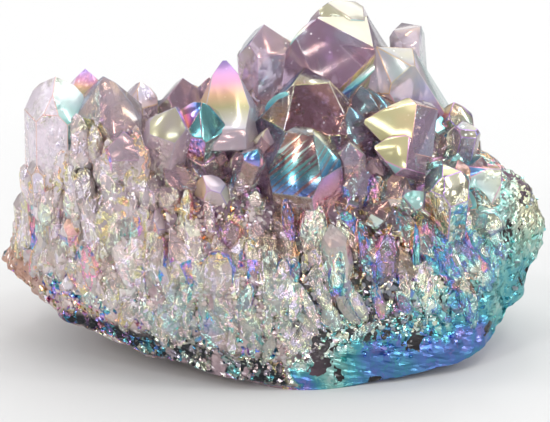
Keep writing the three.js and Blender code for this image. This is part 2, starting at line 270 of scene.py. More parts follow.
# %% Table of the named points
EVEN = [1] * 6
POINTS = {
    "left_shoulder": [(-31.2, 44.6, -8), (-31.4, 26, -6), 4.2, dict(twist=54, minor=0.3)],
    "left_rear": [(-27.4, 46.0, -1), (-27, 34, 0), 2.4, dict()],
    "left_big": [(-24.2, 44.5, -8), (-24, 28, -5), 4.9, dict(twist=30, minor=0.1)],
    "left_low": [(-21.4, 36.8, -14), (-23, 25, -9), 3, dict(twist=15, minor=0.5)],
    "left_small": [(-19.3, 44.2, 0), (-19.8, 33, 1), 2.2, dict(twist=40)],
    "saddle_left": [(-13.3, 44.8, 2), (-13.6, 32, 3), 3.6, dict(twist=20, minor=0.6)],
    "saddle_stub": [(-9.6, 45, 4), (-10, 34, 4), 1.8, dict()],
    "spire": [(-7.2, 48.6, -1), (-6.6, 34, -7), 4.1,
              dict(twist=4, steep=1.8, push=[-0.25, 0.1, 0, 0, 0, 0.1], wide=EVEN)],
    "lantern": [(-10.4, 40.8, -10), (-11.8, 29, -4), 3.7, dict(twist=50, minor=0.2)],
    "saddle_front": [(-14.2, 40.2, -12), (-17, 29, -8), 3, dict(twist=350, minor=0.4)],
    "inner_left": [(-4.4, 40, -2), (-4.6, 31, 0), 2.7, dict(twist=30)],
    "inner_low": [(-0.6, 37.6, -8), (-1.4, 29, -5), 2.4, dict(twist=10)],
    "dusk": [(5.0, 46.0, -6), (4.6, 28, -2), 6.4, dict(twist=12, minor=0.25, blunt=0.2)],
    "striped": [(3.4, 37.4, -15), (5.4, 22, -9), 5.2,
                dict(twist=-24, blunt=0.2, push=[-0.25, 0.1, 0.2, 0.2, 0.2, 0.1], wide=EVEN)],
    "bead": [(-2.4, 34.4, -17), (-5, 28, -12), 1.7, dict()],
    "inner_right": [(10.6, 40.4, -8), (11, 28, -4), 3.1, dict(twist=40)],
    "dusk_right": [(13.6, 43.2, -2), (13, 30, 0), 4.3, dict(twist=25)],
    "chip": [(10.6, 35.2, -14), (11, 26, -9), 1.9, dict()],
    "summit": [(0.6, 56.3, 2), (11, 42.3, 12.8), 9.6,
               dict(twist=11, push=[0, 0, -0.35, -0.76, 0.02, 0], wide=[1, 0.95, 0.6, 0.45, 0.95, 1])],
    "summit_rear": [(4.6, 58.4, 6.4), (12, 46, 14), 6.6,
                    dict(twist=11, push=[0.1, 0, -0.3, -0.75, -0.3, 0], wide=[0.8, 0.9, 0.5, 0.3, 0.9, 1])],
    "summit_left": [(-1.4, 52.4, 3), (-1.4, 34, 5), 3.5, dict(twist=20, minor=0.5)],
    "summit_left_rear": [(-3.2, 50.6, 7), (-2.4, 36, 7), 2.2, dict(twist=45)],
    "tower": [(19.2, 54.2, 10), (20.6, 38, 9), 2.5, dict(twist=12, blunt=0.5, minor=0.5)],
    "slope": [(14, 50.2, 2), (25.5, 33.6, 13), 4.8,
              dict(twist=11, push=[0.1, 0, -0.2, -0.3, 0, 0], wide=[0.9, 0.9, 0.8, 0.6, 0.9, 1])],
    "inner_rear": [(-3.4, 43.6, 2), (-3, 32, 3), 3, dict(twist=35)],
    "inner_mid": [(0.6, 42, -1), (0.4, 30, 1), 2.6, dict(twist=5)],
    "hollow_right": [(12.4, 43.4, -5), (12, 30, -2), 2.8, dict(twist=20)],
    "yellow": [(14.0, 38.2, -9.5), (21.5, 36.6, -4.5), 3.6,
               dict(twist=8, steep=1.6, push=[0, 0.5, 0.3, 0.3, 0.3, 0.5], wide=[0.75, 1.25, 1, 1, 1, 1.2])],
    "yellow_low": [(15.0, 34.6, -11.5), (20.6, 33, -7), 2.5,
                   dict(twist=14, steep=1.5, push=[0, 0.5, 0.3, 0.3, 0.3, 0.5],
                        wide=[0.8, 1.2, 1, 1, 1, 1.2])],
    "knob": [(28.2, 39, 0), (26.4, 29, 2), 1.9, dict(twist=10, blunt=0.5)],
    "right_shoulder": [(32.6, 31.4, -3), (23.4, 25.4, 1), 4.3, dict(twist=20, minor=0.3)],
    "lamp": [(25, 32, -13), (24.4, 18, -6), 3.3, dict(twist=30, blunt=0.2)],
    "diamond": [(33, 23.4, -11), (27, 25, -4), 1.9, dict()],
}

# %% [markdown]
# ## The coat on the named points
# The coat's colour runs with its thickness, from cream over gold, rose and violet to blue, teal and back.
# A facet is given its place in that run of colours at the tip's height, how fast it moves back with each
# millimetre below the tip, how opaque the coat is and how striped by growth lines. One texture for all
# facets would run over their edges, and on a real crystal each facet has a film of its own thickness.

# %% Table of coated facets
# a whole number is a face of the point and side0 to side5 are the prism's, from the front anticlockwise
# as seen from the tip; cloud is how milky the crystal is and coarse how rough its sides are
CLEAR = (0.3, 0, 0)  # no coat
COATS = {
    "left_shoulder": {0: (0.72, 0.02, 1), 5: (0.97, 0, 0.3), 4: (0.05, 0, 0.4), "side0": (0.62, 0, 0.8),
                      "side5": (0.95, 0, 0.3), "side4": (0.9, 0, 0.4), "cloud": 1, "coarse": 0.7},
    "left_rear": {0: (1.42, 0.12, 1), 1: (1.42, 0.12, 0.9), 5: (0.97, 0.03, 0.6), "cloud": 1},
    "left_big": {1: (0.93, 0.02, 0.5), 0: CLEAR, 5: (0.6, 0, 0.1), 4: (0.05, 0, 0.4),
                 "side0": CLEAR, "side1": (0.93, 0, 0.3), "cloud": 0.2, "coarse": 0.6},
    "left_low": {0: (0.6, 0.02, 0.4), 5: (0.62, 0.0, 0.3), "side0": (0.9, 0, 0.4), "cloud": 0.3,
                 "coarse": 0.8},
    "left_small": {0: (0.96, 0.04, 0.9), 5: (0.93, 0.02, 0.6), "side0": (0.9, 0.0, 0.5), "cloud": 0.8},
    "saddle_left": {0: (0.45, 0.03, 0.5), 4: (0.3, 0.05, 0.4), 5: (0.2, 0.05, 0.5)},
    "spire": {0: (0.45, 0.043, 1), 5: (0.44, 0.043, 0.8), 1: (0.2, 0.02, 0.2), "side0": (0.3, 0, 0.1),
              "cloud": 1, "coarse": 0.3},
    "lantern": {4: (0.5, 0.11, 1), 5: (0.56, 0.0, 1), 0: (0.57, 0.0, 1), "side0": (0.66, 0, 1),
                "side5": (0.53, 0.045, 1), 1: (0.6, 0.0, 0.6)},
    "saddle_front": {0: (0.08, 0.0, 0.75), 5: (0.8, 0.01, 0.6), 2: (0.5, 0.12, 1), 1: (0.15, 0.02, 0.3)},
    "dusk": {"top": (0.3, 0, 0.1), 4: (0.52, 0.0, 1), 5: (0.3, 0.02, 0), 0: (0.46, 0.03, 0.42),
             1: (0.38, 0.02, 0.2), "side5": (0, 0, 0), "side0": (0, 0, 0), "cloud": 0.05, "coarse": 0},
    "dusk_right": {0: (0, 0, 0), 5: (0, 0, 0), "side0": (0, 0, 0), "cloud": 0.1, "coarse": 0.2},
    "inner_mid": {0: (0.54, 0.01, 1)},
    "inner_right": {0: (0, 0, 0), 4: (0.3, 0, 0.3), "cloud": 0.1, "coarse": 0.3},
    "hollow_right": {0: (0.2, 0, 0.1), 4: (0.2, 0, 0.2), "cloud": 0.1},
    "striped": {0: (0.82, 0.045, 0.76, 1), 1: (0.68, 0.03, 1, 0.6), 5: (0.1, 0, 0.45, 1),
                "side0": (0.4, 0.05, 0.5), "side5": (0.3, 0, 0.1), "side1": (0.56, 0.03, 0.7),
                "top": CLEAR, 4: (0.1, 0, 0.1), "cloud": 0, "coarse": 0.3},
    "bead": {0: (0.56, 0.09, 1), 1: (0.4, 0.12, 1), 5: (0.55, 0.02, 0.9)},
    "chip": {0: (0.2, 0, 0.3), "side0": (0.22, 0.02, 0.6)},
    "summit": {0: CLEAR, 5: (0.36, 0, 0.15), 4: (0.64, 0, 0.8), 1: (0.04, 0, 0.95),
               "side0": (0.62, 0.12, 1, 0.6), "side1": (0.03, 0, 0.6), "side5": (0.3, 0, 0.1),
               "cloud": 0.65, "coarse": 0},
    "summit_rear": {0: (0.05, 0, 0.9), 1: (0.03, 0, 0.9), 5: (0.3, 0, 0.1), "side0": (0.66, 0, 1),
                    "coarse": 0, "cloud": 1},
    "summit_left": {4: (0.5, 0.0, 0.6), 0: (0.93, 0.03, 0.55), 1: (0.86, 0.03, 0.6),
                    "side0": (0.95, 0.01, 0.4), "side5": (0.62, 0, 0.35), "cloud": 0.9, "coarse": 0.5},
    "tower": {"top": (0.9, 0, 0.3), 0: (0.9, 0, 0.4), "side0": (0.97, 0.01, 0.5), "side5": (0.9, 0, 0.45),
              "cloud": 1, "side1": (0.62, 0, 0.5), "coarse": 0.6},
    "slope": {0: (0.62, -0.01, 0.6), 5: (0.64, 0.0, 0.55), 1: (0.06, 0, 0.6), "side0": (0.66, 0.02, 0.55),
              "side1": (0.62, 0.0, 0.5), "cloud": 0.95, "coarse": 0.6},
    "yellow": {0: (0.095, -0.004, 0.9), 1: (0.09, 0.0, 0.9), 2: (0.06, 0, 0.7), 3: (0.07, 0, 1),
               4: (0.62, 0, 0.6), 5: (0.3, 0, 0.2), "side5": CLEAR, "side0": (0.08, 0, 0.4),
               "side1": (0.9, 0, 0.3), "side2": (0.08, 0, 0.9), "coarse": 0.5, "cloud": 0.84},
    "yellow_low": {0: (0.095, 0, 1), 1: (0.095, 0, 1), 2: (0.08, 0, 1), 5: (0.62, 0, 0.7),
                   "side0": (0.3, 0, 0.1), "side1": (0.7, 0, 0.4), "side5": CLEAR, "coarse": 0.5,
                   "cloud": 0.84},
    "knob": {"top": (0.06, 0, 0.5), 0: (0.08, 0, 0.5), "side0": (0.0, 0, 0.4), "cloud": 0.8,
             "coarse": 0.9},
    "right_shoulder": {0: (0.80, 0.05, 1), 1: (0.84, 0.06, 1), 5: (0.6, 0.05, 1), 2: (0.1, 0, 1),
                       4: (0.12, -0.1, 1), "side3": (0.1, 0, 1), "side2": (0.1, 0, 1), "coarse": 0.2},
    "lamp": {0: (0.05, 0, 0.9), 5: (0.07, 0, 1), "side5": (0.06, 0, 1), 4: (0.64, 0, 0.8),
             "side0": (0.66, 0, 0.9), "top": (0.08, 0, 1), 1: (0.66, 0.02, 0.8), "coarse": 1,
             "cloud": 0.1},
    "diamond": {0: (0.78, 0, 1), 1: (0.7, 0, 1), 5: (0.62, 0, 1), "side5": (0.64, 0, 1),
                "side0": (0.68, 0, 1), "coarse": 0.1},
}
crystals = [
    cut_crystal(seen(*tip), seen(*root), r * MM, seed=n + 1, coats=COATS.get(name, {}), **more)
    for n, (name, (tip, root, r, more)) in enumerate(POINTS.items())
]
print(len(crystals), "named points,", len(COATS), "of them with a coat of their own")

# %% [markdown]
# ## Rows of columns round the wall
# The broken wall is a stack of quartz columns side by side. They could be an array along a curve, but real
# ones differ in length, lean and point. A loop over turns round the body draws all of that from a
# repeatable chance, and each column is half sunk, so that it is grown in and not laid on.

# %% Rows of columns round the wall
SINK = 0.35  # how deep a wall column's axis lies at its lower end, in shares of its half width
WANDER = 0.9  # how far a crystal may stray along its row, in shares of the row's spacing
CREST_LEVEL = 3.05  # no column ends above this level
SHORTEST = 0.3  # levels
BARE_FROM = 33.5  # mm, the right end beyond this has no columns
HIGHER = 0.3  # how many levels higher the columns start at the right


def grow(tip, root, r, seed, **more):
    """One more crystal, with its places on the body and its half width in mm."""
    crystals.append(cut_crystal((tip - MIDDLE) * MM, (root - MIDDLE) * MM, r * MM, seed=seed, **more))


def column_row(count, root, tip, r, edge, seed):
    """Columns side by side round the wall, pointed at both ends and half sunk in it."""
    for n in range(count):
        draws = [chance(seed + n + 211 * k) for k in range(9)]
        turn = (n + WANDER * draws[0]) / count
        east = surface(turn, 1.5).x
        if east > BARE_FROM:
            continue
        start = root + 0.35 * (draws[1] - 0.5) + HIGHER * climb(east, 2, 14)
        low = surface(turn, start)
        end = min(CREST_LEVEL, max(start + SHORTEST, tip + 0.5 * (draws[3] - 0.5)))
        high = surface(turn + 0.04 * (draws[2] - 0.5), end)
        away = Vector((low.x, low.y, 0)).normalized()
        wide = r * mix(0.6, 1.5, draws[4] ** 1.5)
        low -= away * SINK * wide
        high += away * wide * mix(-0.4, 0.7, draws[5]) - Vector((0, 0, 0.5 * wide))
        grow(high, low, wide, seed + n, twist=60 * draws[7], steep=mix(1.2, 3, draws[6]), minor=0.4,
             keel=mix(1.1, 1.42, draws[8]), edge=edge * MM)


COLUMN_ROWS = [  # count, root level, tip level, r and edge in mm, seed
    (104, 1.32, 1.75, 0.8, 0.13, 1000), (96, 1.4, 2.0, 1.0, 0.13, 1200), (90, 1.5, 2.3, 1.2, 0.14, 1400),
    (80, 1.8, 2.65, 1.35, 0.16, 1600), (70, 2.1, 3.0, 1.5, 0.18, 1800), (60, 2.4, 3.2, 1.6, 0.18, 2000),
    (26, 1.35, 2.2, 1.9, 0.24, 2100), (24, 1.8, 2.8, 2.1, 0.26, 2150),
]
for row in COLUMN_ROWS:
    column_row(*row)
print(len(crystals), "points with the wall's columns")

# %% [markdown]
# ## Points over the bed
# Between the large points stand smaller ones that grew later, straight up from the bed. Rows of them, ring
# by ring, leave no bare rock between the named points, whichever side they are seen from.

# %% Points over the bed
def bed_row(count, start, end, root, tip, r, out, rise, seed):
    """Points that stand up from the bed."""
    for n in range(count):
        draws = [chance(seed + n + 211 * k) for k in range(8)]
        turn = mix(start, end, (n + WANDER * (draws[1] - 0.5)) / count)
        low = surface(turn, root + 0.3 * (draws[0] - 0.5))
        high = surface(turn + 0.02 * (draws[2] - 0.5), tip + 0.4 * (draws[3] - 0.5))
        away = Vector((low.x, low.y, 0)).normalized()
        low -= away * 2 + Vector((0, 0, 2))
        high += away * out * mix(0.3, 1.5, draws[4]) + Vector((0, 0, rise * mix(0.6, 1.3, draws[5])))
        grow(high, low, r * mix(0.7, 1.3, draws[6]), seed + n, twist=60 * draws[7], minor=0.3)


BED_ROWS = [  # count, turns from and to, root level, tip level, r, out and rise in mm, seed
    (44, 0, 1, 3.0, 3.1, 1.7, 0.3, 2.6, 2200), (40, 0, 1, 3.3, 3.3, 1.8, 0, 2.8, 2400),
    (36, 0, 1, 3.6, 3.6, 1.8, 0, 3.0, 2600), (24, 0, 1, 4.0, 4.0, 1.7, 0, 3.0, 2800),
    (9, 0.02, 0.5, 3.1, 3.2, 3.1, 0, 5, 400), (7, 0.06, 0.48, 3.6, 3.6, 3.3, 0, 5, 500),
    (9, 0.54, 0.96, 3.3, 3.3, 2.4, 0, 4.5, 600), (5, 0.56, 0.9, 3.8, 3.8, 2.6, 0, 4.5, 700),
    (4, 0.1, 0.32, 3.5, 3.4, 4, 1.5, 10, 800), (6, 0.26, 0.86, 4.4, 4.4, 2.8, 0, 4, 900),
]
for row in BED_ROWS:
    bed_row(*row)
print(len(crystals), "points in all")

# %% [markdown]
# ## Side growths
# Small crystals often start on the side of a large one and share its direction. They break up the long
# straight sides that would look machined. Each takes its host's axis from the table and stands half out of
# a side that chance picks.

# %% Side growths
HOSTS = ("left_shoulder", "left_rear", "left_big", "left_low", "left_small", "saddle_left", "saddle_front",
         "lantern", "inner_left", "inner_low", "inner_right", "hollow_right", "knob", "lamp",
         "right_shoulder", "summit_left")


def side_growths(count, low, high, small, large, seed):
    """Small crystals that stand half sunk in the named points' sides, parallel to their hosts."""
    hosts = [POINTS[name] for name in HOSTS]
    for n in range(count):
        draws = [chance(seed + n + 173 * k) for k in range(8)]
        tip, root, r, _ = hosts[int(draws[0] * len(hosts))]
        tip, root, r = seen(*tip), seen(*root), r * MM
        axis, length = (tip - root).normalized(), (tip - root).length
        ahead = (to_camera - axis * to_camera.dot(axis)).normalized()
        angle = 2 * math.pi * draws[1]
        out = ahead * math.cos(angle) + axis.cross(ahead) * math.sin(angle)
        own = max(0.5 * MM, r * mix(small, large, draws[2]))
        top = root + axis * length * mix(low, high, draws[3]) + out * r * mix(0.75, 1.02, draws[4])
        foot = top - axis * own * mix(3, 7, draws[5]) - out * own * mix(0, 0.6, draws[6])
        crystals.append(cut_crystal(top, foot, own, twist=60 * draws[7], minor=0.4, seed=seed + n))


# how many, from and to along the host, smallest and largest in shares of its width, seed
side_growths(220, 0.1, 0.62, 0.16, 0.42, 5000)
print(len(crystals), "points with side growths")

# %% [markdown]
# ## Worn columns
# Low on the wall the columns have grown into each other until only rounded, lens-shaped fronts with thin
# bright outlines are left. A subdivided cube or a metaball could make such a front. A stretched sphere of
# 72 faces, half sunk and leaning with the wall, is lighter, and its flanks are told from its front by the
# way that they face, which gives the bright outline its place.

# %% Worn columns on the wall
LENS_TURNS, LENS_RINGS = 12, 6
OUTLINE = 0.35  # a facet that faces out of the wall less than this counts as outline
OUTLINE_FILM, OUTLINE_HUES = 0.9, (0.08, 0.36)
WRINKLED = 0.85
LOW_RIGHT = (4, 7)  # mm, right of the first and below the second the rock lies bare


def worn_column(place, up, out, half, outline_hue, hue, rate, film, haze, rough=WRINKLED, run=None):
    """A stretched sphere, lying along up and facing out. half gives its half sizes across, outward and
    along, and the coat's colour changes along run, or else along up."""
    aside = up.cross(out).normalized()
    out = aside.cross(up)
    turned = Matrix((aside, out, up)).transposed() @ Matrix.Diagonal(half)
    lens = bmesh.new()
    layers = face_notes(lens)
    bmesh.ops.create_uvsphere(lens, u_segments=LENS_TURNS, v_segments=LENS_RINGS, radius=MM,
                              matrix=Matrix.Translation(place) @ turned.to_4x4())
    if turned.determinant() < 0:
        bmesh.ops.reverse_faces(lens, faces=lens.faces[:])
    lens.normal_update()
    for face in lens.faces:
        face.smooth = True
        outline = face.normal.dot(out) < OUTLINE
        face[layers["film"]] = OUTLINE_FILM if outline else film
        face[layers["hue"]], face[layers["rate"]] = (outline_hue, 0) if outline and not run else (hue, rate)
        face[layers["rough"]], face[layers["haze"]] = rough, haze
        face[layers["tip"]], face[layers["axis"]], face[layers["long"]] = place, run or up, half[2]
    return lens


def worn_columns(count, start, end, wide, long, thick, lean, seed):
    """Worn columns over a band of the wall. wide, long and thick are ranges of their half sizes in mm."""
    for n in range(count):
        draws = [chance(seed + n + 157 * k) for k in range(11)]
        turn, level = (n + draws[0]) / count, mix(start, end, draws[1])
        place = surface(turn, level)
        if place.x > BARE_FROM - 2 or (place.x > LOW_RIGHT[0] and place.z < LOW_RIGHT[1]):
            continue
        up = (surface(turn, level + 0.3) - surface(turn, level - 0.3)).normalized()
        aside = (surface(turn + 0.005, level) - surface(turn - 0.005, level)).normalized()
        out = aside.cross(up)
        if out.dot(place) < 0:
            out = -out
        up = (up + aside * lean * (draws[2] - 0.5)).normalized()
        half = (mix(*wide, draws[3]), mix(*thick, draws[4]), mix(*long, draws[5]))
        hue, rate = usual_hue(place.x * MM, draws[8]), mix(-STEADY, STEADY, draws[9])
        crystals.append(worn_column((place - MIDDLE) * MM, up, out, half, mix(*OUTLINE_HUES, draws[7]), hue,
                                    rate, draws[6], draws[10]))


# how many, level from and to, ranges of half width, length and thickness in mm, lean, seed
worn_columns(110, 1.5, 2.3, (0.8, 1.5), (2.0, 4.2), (0.7, 1.2), 0.9, 6000)
worn_columns(90, 2.0, 2.9, (0.9, 1.8), (2.2, 4.6), (0.9, 1.5), 0.9, 6200)
print(len(crystals), "points with the worn columns")

# %% [markdown]
# ## Worn columns placed one by one
# A few of the fronts are large and bright enough to be looked at on their own. The middle of each is given
# as seen from the front, and the nearest place of the body's front is searched for in a net of places on
# it, so that the column sits in the wall and not before it.

# %% Worn columns placed one by one
FRONT_TURNS = [mix(0.5, 1, k / 90) for k in range(91)]
FRONT_LEVELS = [mix(1.1, 3.2, k / 30) for k in range(31)]
FRONT_PLACES = [surface(turn, level) - MIDDLE for turn in FRONT_TURNS for level in FRONT_LEVELS]


def on_front(across, up):
    """The place on the front of the body, in metres, that is seen across and up."""
    def miss(place):
        high = place.z * math.cos(LOOK_DOWN) + (place.y + MIDDLE.y - FRONT) * math.sin(LOOK_DOWN)
        return (place.x + MIDDLE.x - across) ** 2 + (high - up) ** 2
    return min(FRONT_PLACES, key=miss) * MM


WINDOW_ROUGH, WINDOW_FILM = 0.3, 0.2  # a front with less film than this is a window into the quartz
CALM = 0.02  # how fast the coat changes along a front
FRONT_HUES = (0.1, 0.34)  # of the outlines
# across and up in mm, half width and half length in mm, lean, coat colour, opacity, milkiness
FRONT_COLUMNS = [
    [(4.9, 23.0), (2.3, 4.6), 0.05, 0.70, 0.9, 0.1], [(2.2, 22.4), (1.1, 5.2), -0.12, 0.33, 0.7, 0.1],
    [(-12.7, 25.4), (1.0, 3.4), 0.05, 0.06, 0.9, 0.1], [(-7.0, 22.2), (1.9, 2.2), 0.5, 0.3, 0.1, 0.1],
    [(-8.6, 16.0), (2.9, 3.8), 0.1, 0.95, 0.1, 0.7], [(14.4, 27.4), (2.0, 4.0), 0.05, 0.08, 0.55, 0.0],
    [(16.2, 18.0), (2.3, 4.6), 0.05, 0.30, 0.1, 0.1], [(19.6, 18.6), (0.8, 5.6), 0.02, 0.40, 0.8, 0.1],
    [(12.6, 19.8), (1.2, 5.4), -0.15, 0.42, 0.75, 0.0], [(24.8, 17.2), (1.4, 4.4), -0.55, 0.24, 0.6, 0.0],
    [(22.0, 22.2), (1.6, 3.0), -0.1, 0.18, 0.1, 0.0], [(21.4, 30.0), (1.6, 2.1), 0, 0.9, 0.3, 1.0],
    [(26.4, 28.2), (1.0, 2.6), 0.1, 0.08, 0.95, 0.2], [(9.6, 16.0), (1.5, 4.6), 0.1, 0.58, 0.8, 0.1],
    [(0.4, 14.6), (1.4, 4.2), 0.1, 0.72, 0.6, 0.4], [(-16.4, 18.6), (1.5, 4.0), 0.1, 0.9, 0.5, 0.4],
    [(-20.4, 23.0), (2.2, 3.0), -0.2, 0.62, 0.3, 0.3], [(-26.0, 17.0), (1.6, 4.0), -0.2, 0.1, 0.4, 0.6],
    [(-4.4, 12.2), (1.2, 3.6), 0.3, 0.66, 0.6, 0.3], [(-13.2, 12.0), (1.2, 3.6), 0.3, 0.3, 0.35, 0.2],
    [(28.4, 22.0), (2.0, 2.4), -0.4, 0.7, 0.7, 0.3], [(-3.0, 26.8), (1.6, 2.6), 0.3, 0.2, 0.1, 0.0],
]
for n, (seen_at, (wide, long), lean, hue, film, haze) in enumerate(FRONT_COLUMNS):
    place = on_front(*seen_at)
    up = Vector((lean, 0, 1)).normalized()
    out = Vector((place.x * 0.6, place.y, 0.01)).normalized()
    out = (out - up * out.dot(up)).normalized()
    crystals.append(worn_column(place, up, out, (wide, 0.45 * wide + 0.9, long),
                                mix(*FRONT_HUES, chance(6400 + n)), hue, CALM, film, haze,
                                rough=WINDOW_ROUGH if film < WINDOW_FILM else WRINKLED))
print(len(FRONT_COLUMNS), "worn columns placed one by one")

# %% [markdown]
# ## Bright strips along edges
# Where a large facet meets its neighbour, a narrow step of growth shows the whole run of colours. A bevel
# is too even for it. A long, thin lens between two places on the point does it, and the places are found
# by shooting a ray at the point from the front.

# %% Bright strips along edges
def on_point(name, across, up):
    """The place on a named point's front, in metres, that is seen across and up."""
    faces = BVHTree.FromBMesh(crystals[list(POINTS).index(name)])
    hit = faces.ray_cast(seen(across, up, -60), -to_camera)[0]
    return hit or faces.find_nearest(seen(across, up, POINTS[name][0][2]))[0]


STRIPS = [  # the point, from and to (across and up in mm), half width in mm, colour and how fast it changes
    ("dusk", (-1.8, 40.9), (1.8, 42.3), 0.9, 0.56, 0.03),
    ("summit", (1.6, 50.6), (5.2, 53.4), 0.55, 0.74, 0.14),
    ("summit", (9.6, 42.4), (15.2, 47.4), 0.75, 0.62, 0.13),
    ("summit_rear", (8.4, 54.0), (11.6, 52.9), 0.5, 0.68, 0.08),
]
STRIP_THICK, STRIP_OVER = 0.3, 0.4  # mm, half thickness and how far it reaches past its ends
STRIP_RUN = Vector((-0.3, 0, 1)).normalized()  # the way that its colours run
for name, start, end, wide, hue, rate in STRIPS:
    low, high = on_point(name, *start), on_point(name, *end)
    along = (high - low).normalized()
    out = (to_camera - along * to_camera.dot(along)).normalized()
    half = (wide, STRIP_THICK, (high - low).length / MM / 2 + STRIP_OVER)
    crystals.append(worn_column((low + high) / 2, along, out, half, hue, hue, rate, 1, 1,
                                rough=WINDOW_ROUGH, run=STRIP_RUN))
print(len(STRIPS), "bright strips")

# %% [markdown]
# ## Milky columns of the left end
# The left end is one block of milky quartz, ribbed from top to bottom. Ribs can be carved with a bump, but
# they show in the outline, so they are the same stretched spheres again, longer and nearly upright.

# %% Milky columns of the left end
MILKY_COLUMNS = 34
MILKY_ACROSS, MILKY_UP = (-36, -18.5), (21.5, 36)  # mm, as seen from the front
MILKY_END = -35.4
for n in range(MILKY_COLUMNS):
    draws = [chance(6600 + n + 157 * k) for k in range(9)]
    across, up = max(MILKY_END, mix(*MILKY_ACROSS, draws[0])), mix(*MILKY_UP, draws[1])
    back = mix(-8.5, -13.5, climb(across, -36, -24)) - (MILKY_UP[1] - up) * 0.12
    half = (mix(0.9, 1.9, draws[2]), mix(0.7, 1.1, draws[3]), mix(2.4, 5.2, draws[4]))
    lean = Vector((mix(-0.25, 0.25, draws[5]), 0, 1)).normalized()
    film, haze = mix(0.2, 0.7, draws[8]), mix(0.3, 1, draws[3])
    crystals.append(worn_column(seen(across, up, back), lean, to_camera, half, mix(0.8, 1.2, draws[6]),
                                mix(0.7, 1.05, draws[7]), CALM, film, haze))
print(len(crystals), "points with the milky columns")

# %% [markdown]
# ## Fusing the crystals
# Crystals that grew together share no inner walls, and clear quartz would show them if they were there.
# Joining the meshes keeps the walls. A boolean union with the Manifold solver removes them for a thousand
# crystals in a few seconds and carries the facets' numbers over.

# %% Fuse them
def linked(name, mesh):
    piece = bpy.data.objects.new(name, mesh)
    bpy.context.scene.collection.objects.link(piece)
    return piece


CREASE = math.radians(40)  # a sharper bend than this stays a crease


def fuse(name, parts):
    """One closed mesh from many that overlap."""
    kept = bpy.data.collections.new(name)
    made = []
    for n, part in enumerate(parts):
        mesh = bpy.data.meshes.new(f"{name}_{n}")
        part.to_mesh(mesh)
        part.free()
        made.append(bpy.data.objects.new(mesh.name, mesh))
        kept.objects.link(made[-1])
    first = made[0]
    kept.objects.unlink(first)
    bpy.context.scene.collection.objects.link(first)
    join = first.modifiers.new("join", "BOOLEAN")
    join.operation, join.operand_type, join.solver, join.collection = "UNION", "COLLECTION", "MANIFOLD", kept
    evaluated = first.evaluated_get(bpy.context.evaluated_depsgraph_get())
    mesh = bpy.data.meshes.new_from_object(evaluated)
    for old in made:
        bpy.data.objects.remove(old)
    bpy.data.collections.remove(kept)
    mesh.name = name
    mesh.materials.clear()
    mesh.set_sharp_from_angle(angle=CREASE)
    return linked(name, mesh)


points = fuse("amethyst_points", crystals)
print(len(points.data.polygons), "faces after fusing")

# %% [markdown]
# ## The rock
# Under the crystals is the broken wall of a geode: lumpy, pitted, and flat where it stands. A sphere has
# the right faces and closed poles. Every vertex moves to its place between the contour rings, and two
# noises then push it in and out, coarse for the lumps and fine for the grit.

# %% Rock
RELIEF, GRIT = 0.9 * MM, 0.35 * MM  # how high the lumps and the grit are
LUMP_SCALE, GRIT_SCALE = 220, 1100  # how many to the metre
SMOOTH_SHARE = 0.25  # how much of the grit is left at the right end
FOOT_RISE = 4 * MM  # the height over which the relief starts


def rock(name, sectors=300, rows_between=26):
    levels = [ring + step / rows_between for ring in range(len(RINGS)) for step in range(rows_between)]
    body = bmesh.new()
    bmesh.ops.create_uvsphere(body, u_segments=sectors, v_segments=len(levels) + 1, radius=1)
    for vert in body.verts:
        row = round(math.acos(max(-1, min(1, -vert.co.z))) / math.pi * (len(levels) + 1))
        turn = math.atan2(vert.co.y, vert.co.x) / (2 * math.pi) % 1
        if row == 0:
            place = Vector((0, -2, 0))
        elif row > len(levels):
            place = BED_MIDDLE.copy()
        else:
            place = surface(turn, levels[row - 1])
        vert.co = (place - MIDDLE) * MM
    body.normal_update()
    for vert in body.verts:
        coarse = noise.fractal(vert.co * LUMP_SCALE, 0.9, 2, 4)
        fine = noise.fractal(vert.co * GRIT_SCALE, 0.8, 2, 3)
        free = min(1, vert.co.z / FOOT_RISE)
        gritty = mix(GRIT, SMOOTH_SHARE * GRIT, climb(vert.co.x / MM, 20, 28))
        vert.co += vert.normal * (RELIEF * coarse + gritty * fine) * free
        vert.co.z = max(0, vert.co.z)
    # the sphere's faces come in another order each time, and the grains' places depend on it
    body.verts.index_update()
    body.faces.sort(key=lambda face: sum(vert.index**2 for vert in face.verts))
    mesh = bpy.data.meshes.new(name)
    body.to_mesh(mesh)
    body.free()
    return linked(name, mesh)


matrix = rock("matrix_crust")
print(len(matrix.data.polygons), "faces in the rock")

# %% [markdown]
# ## Fine quartz over the rock
# Druzy quartz is a crust of points under a millimetre. Geometry nodes scatter one small crystal over the
# rock, turn each copy at random and make the copies real, so that they are exported too. The crystal has
# only a few faces, because there are thousands of it, and an attribute thins it where the rock is bare.

# %% One grain of fine quartz
PRISM, PYRAMID, ROOTED = 0.8, 0.62, 0.15  # heights in grain widths, and how deep it is rooted


def grain_mesh():
    """A tiny point, one unit wide: a prism with six sides under a low pyramid."""
    grain = bmesh.new()
    bmesh.ops.create_cone(grain, segments=6, radius1=0.5, radius2=0.5, depth=PRISM, cap_ends=True)
    top = max(grain.faces, key=lambda face: face.calc_center_median().z)
    bmesh.ops.poke(grain, faces=[top], offset=PYRAMID)
    bmesh.ops.translate(grain, vec=(0, 0, -ROOTED), verts=grain.verts[:])
    mesh = bpy.data.meshes.new("grain")
    grain.to_mesh(mesh)
    grain.free()
    return mesh


# %% Scatter the grains
LEAN, SPIN = 0.9, 1.05  # radians
CROWDED = 1.5  # grains tried for each that has room


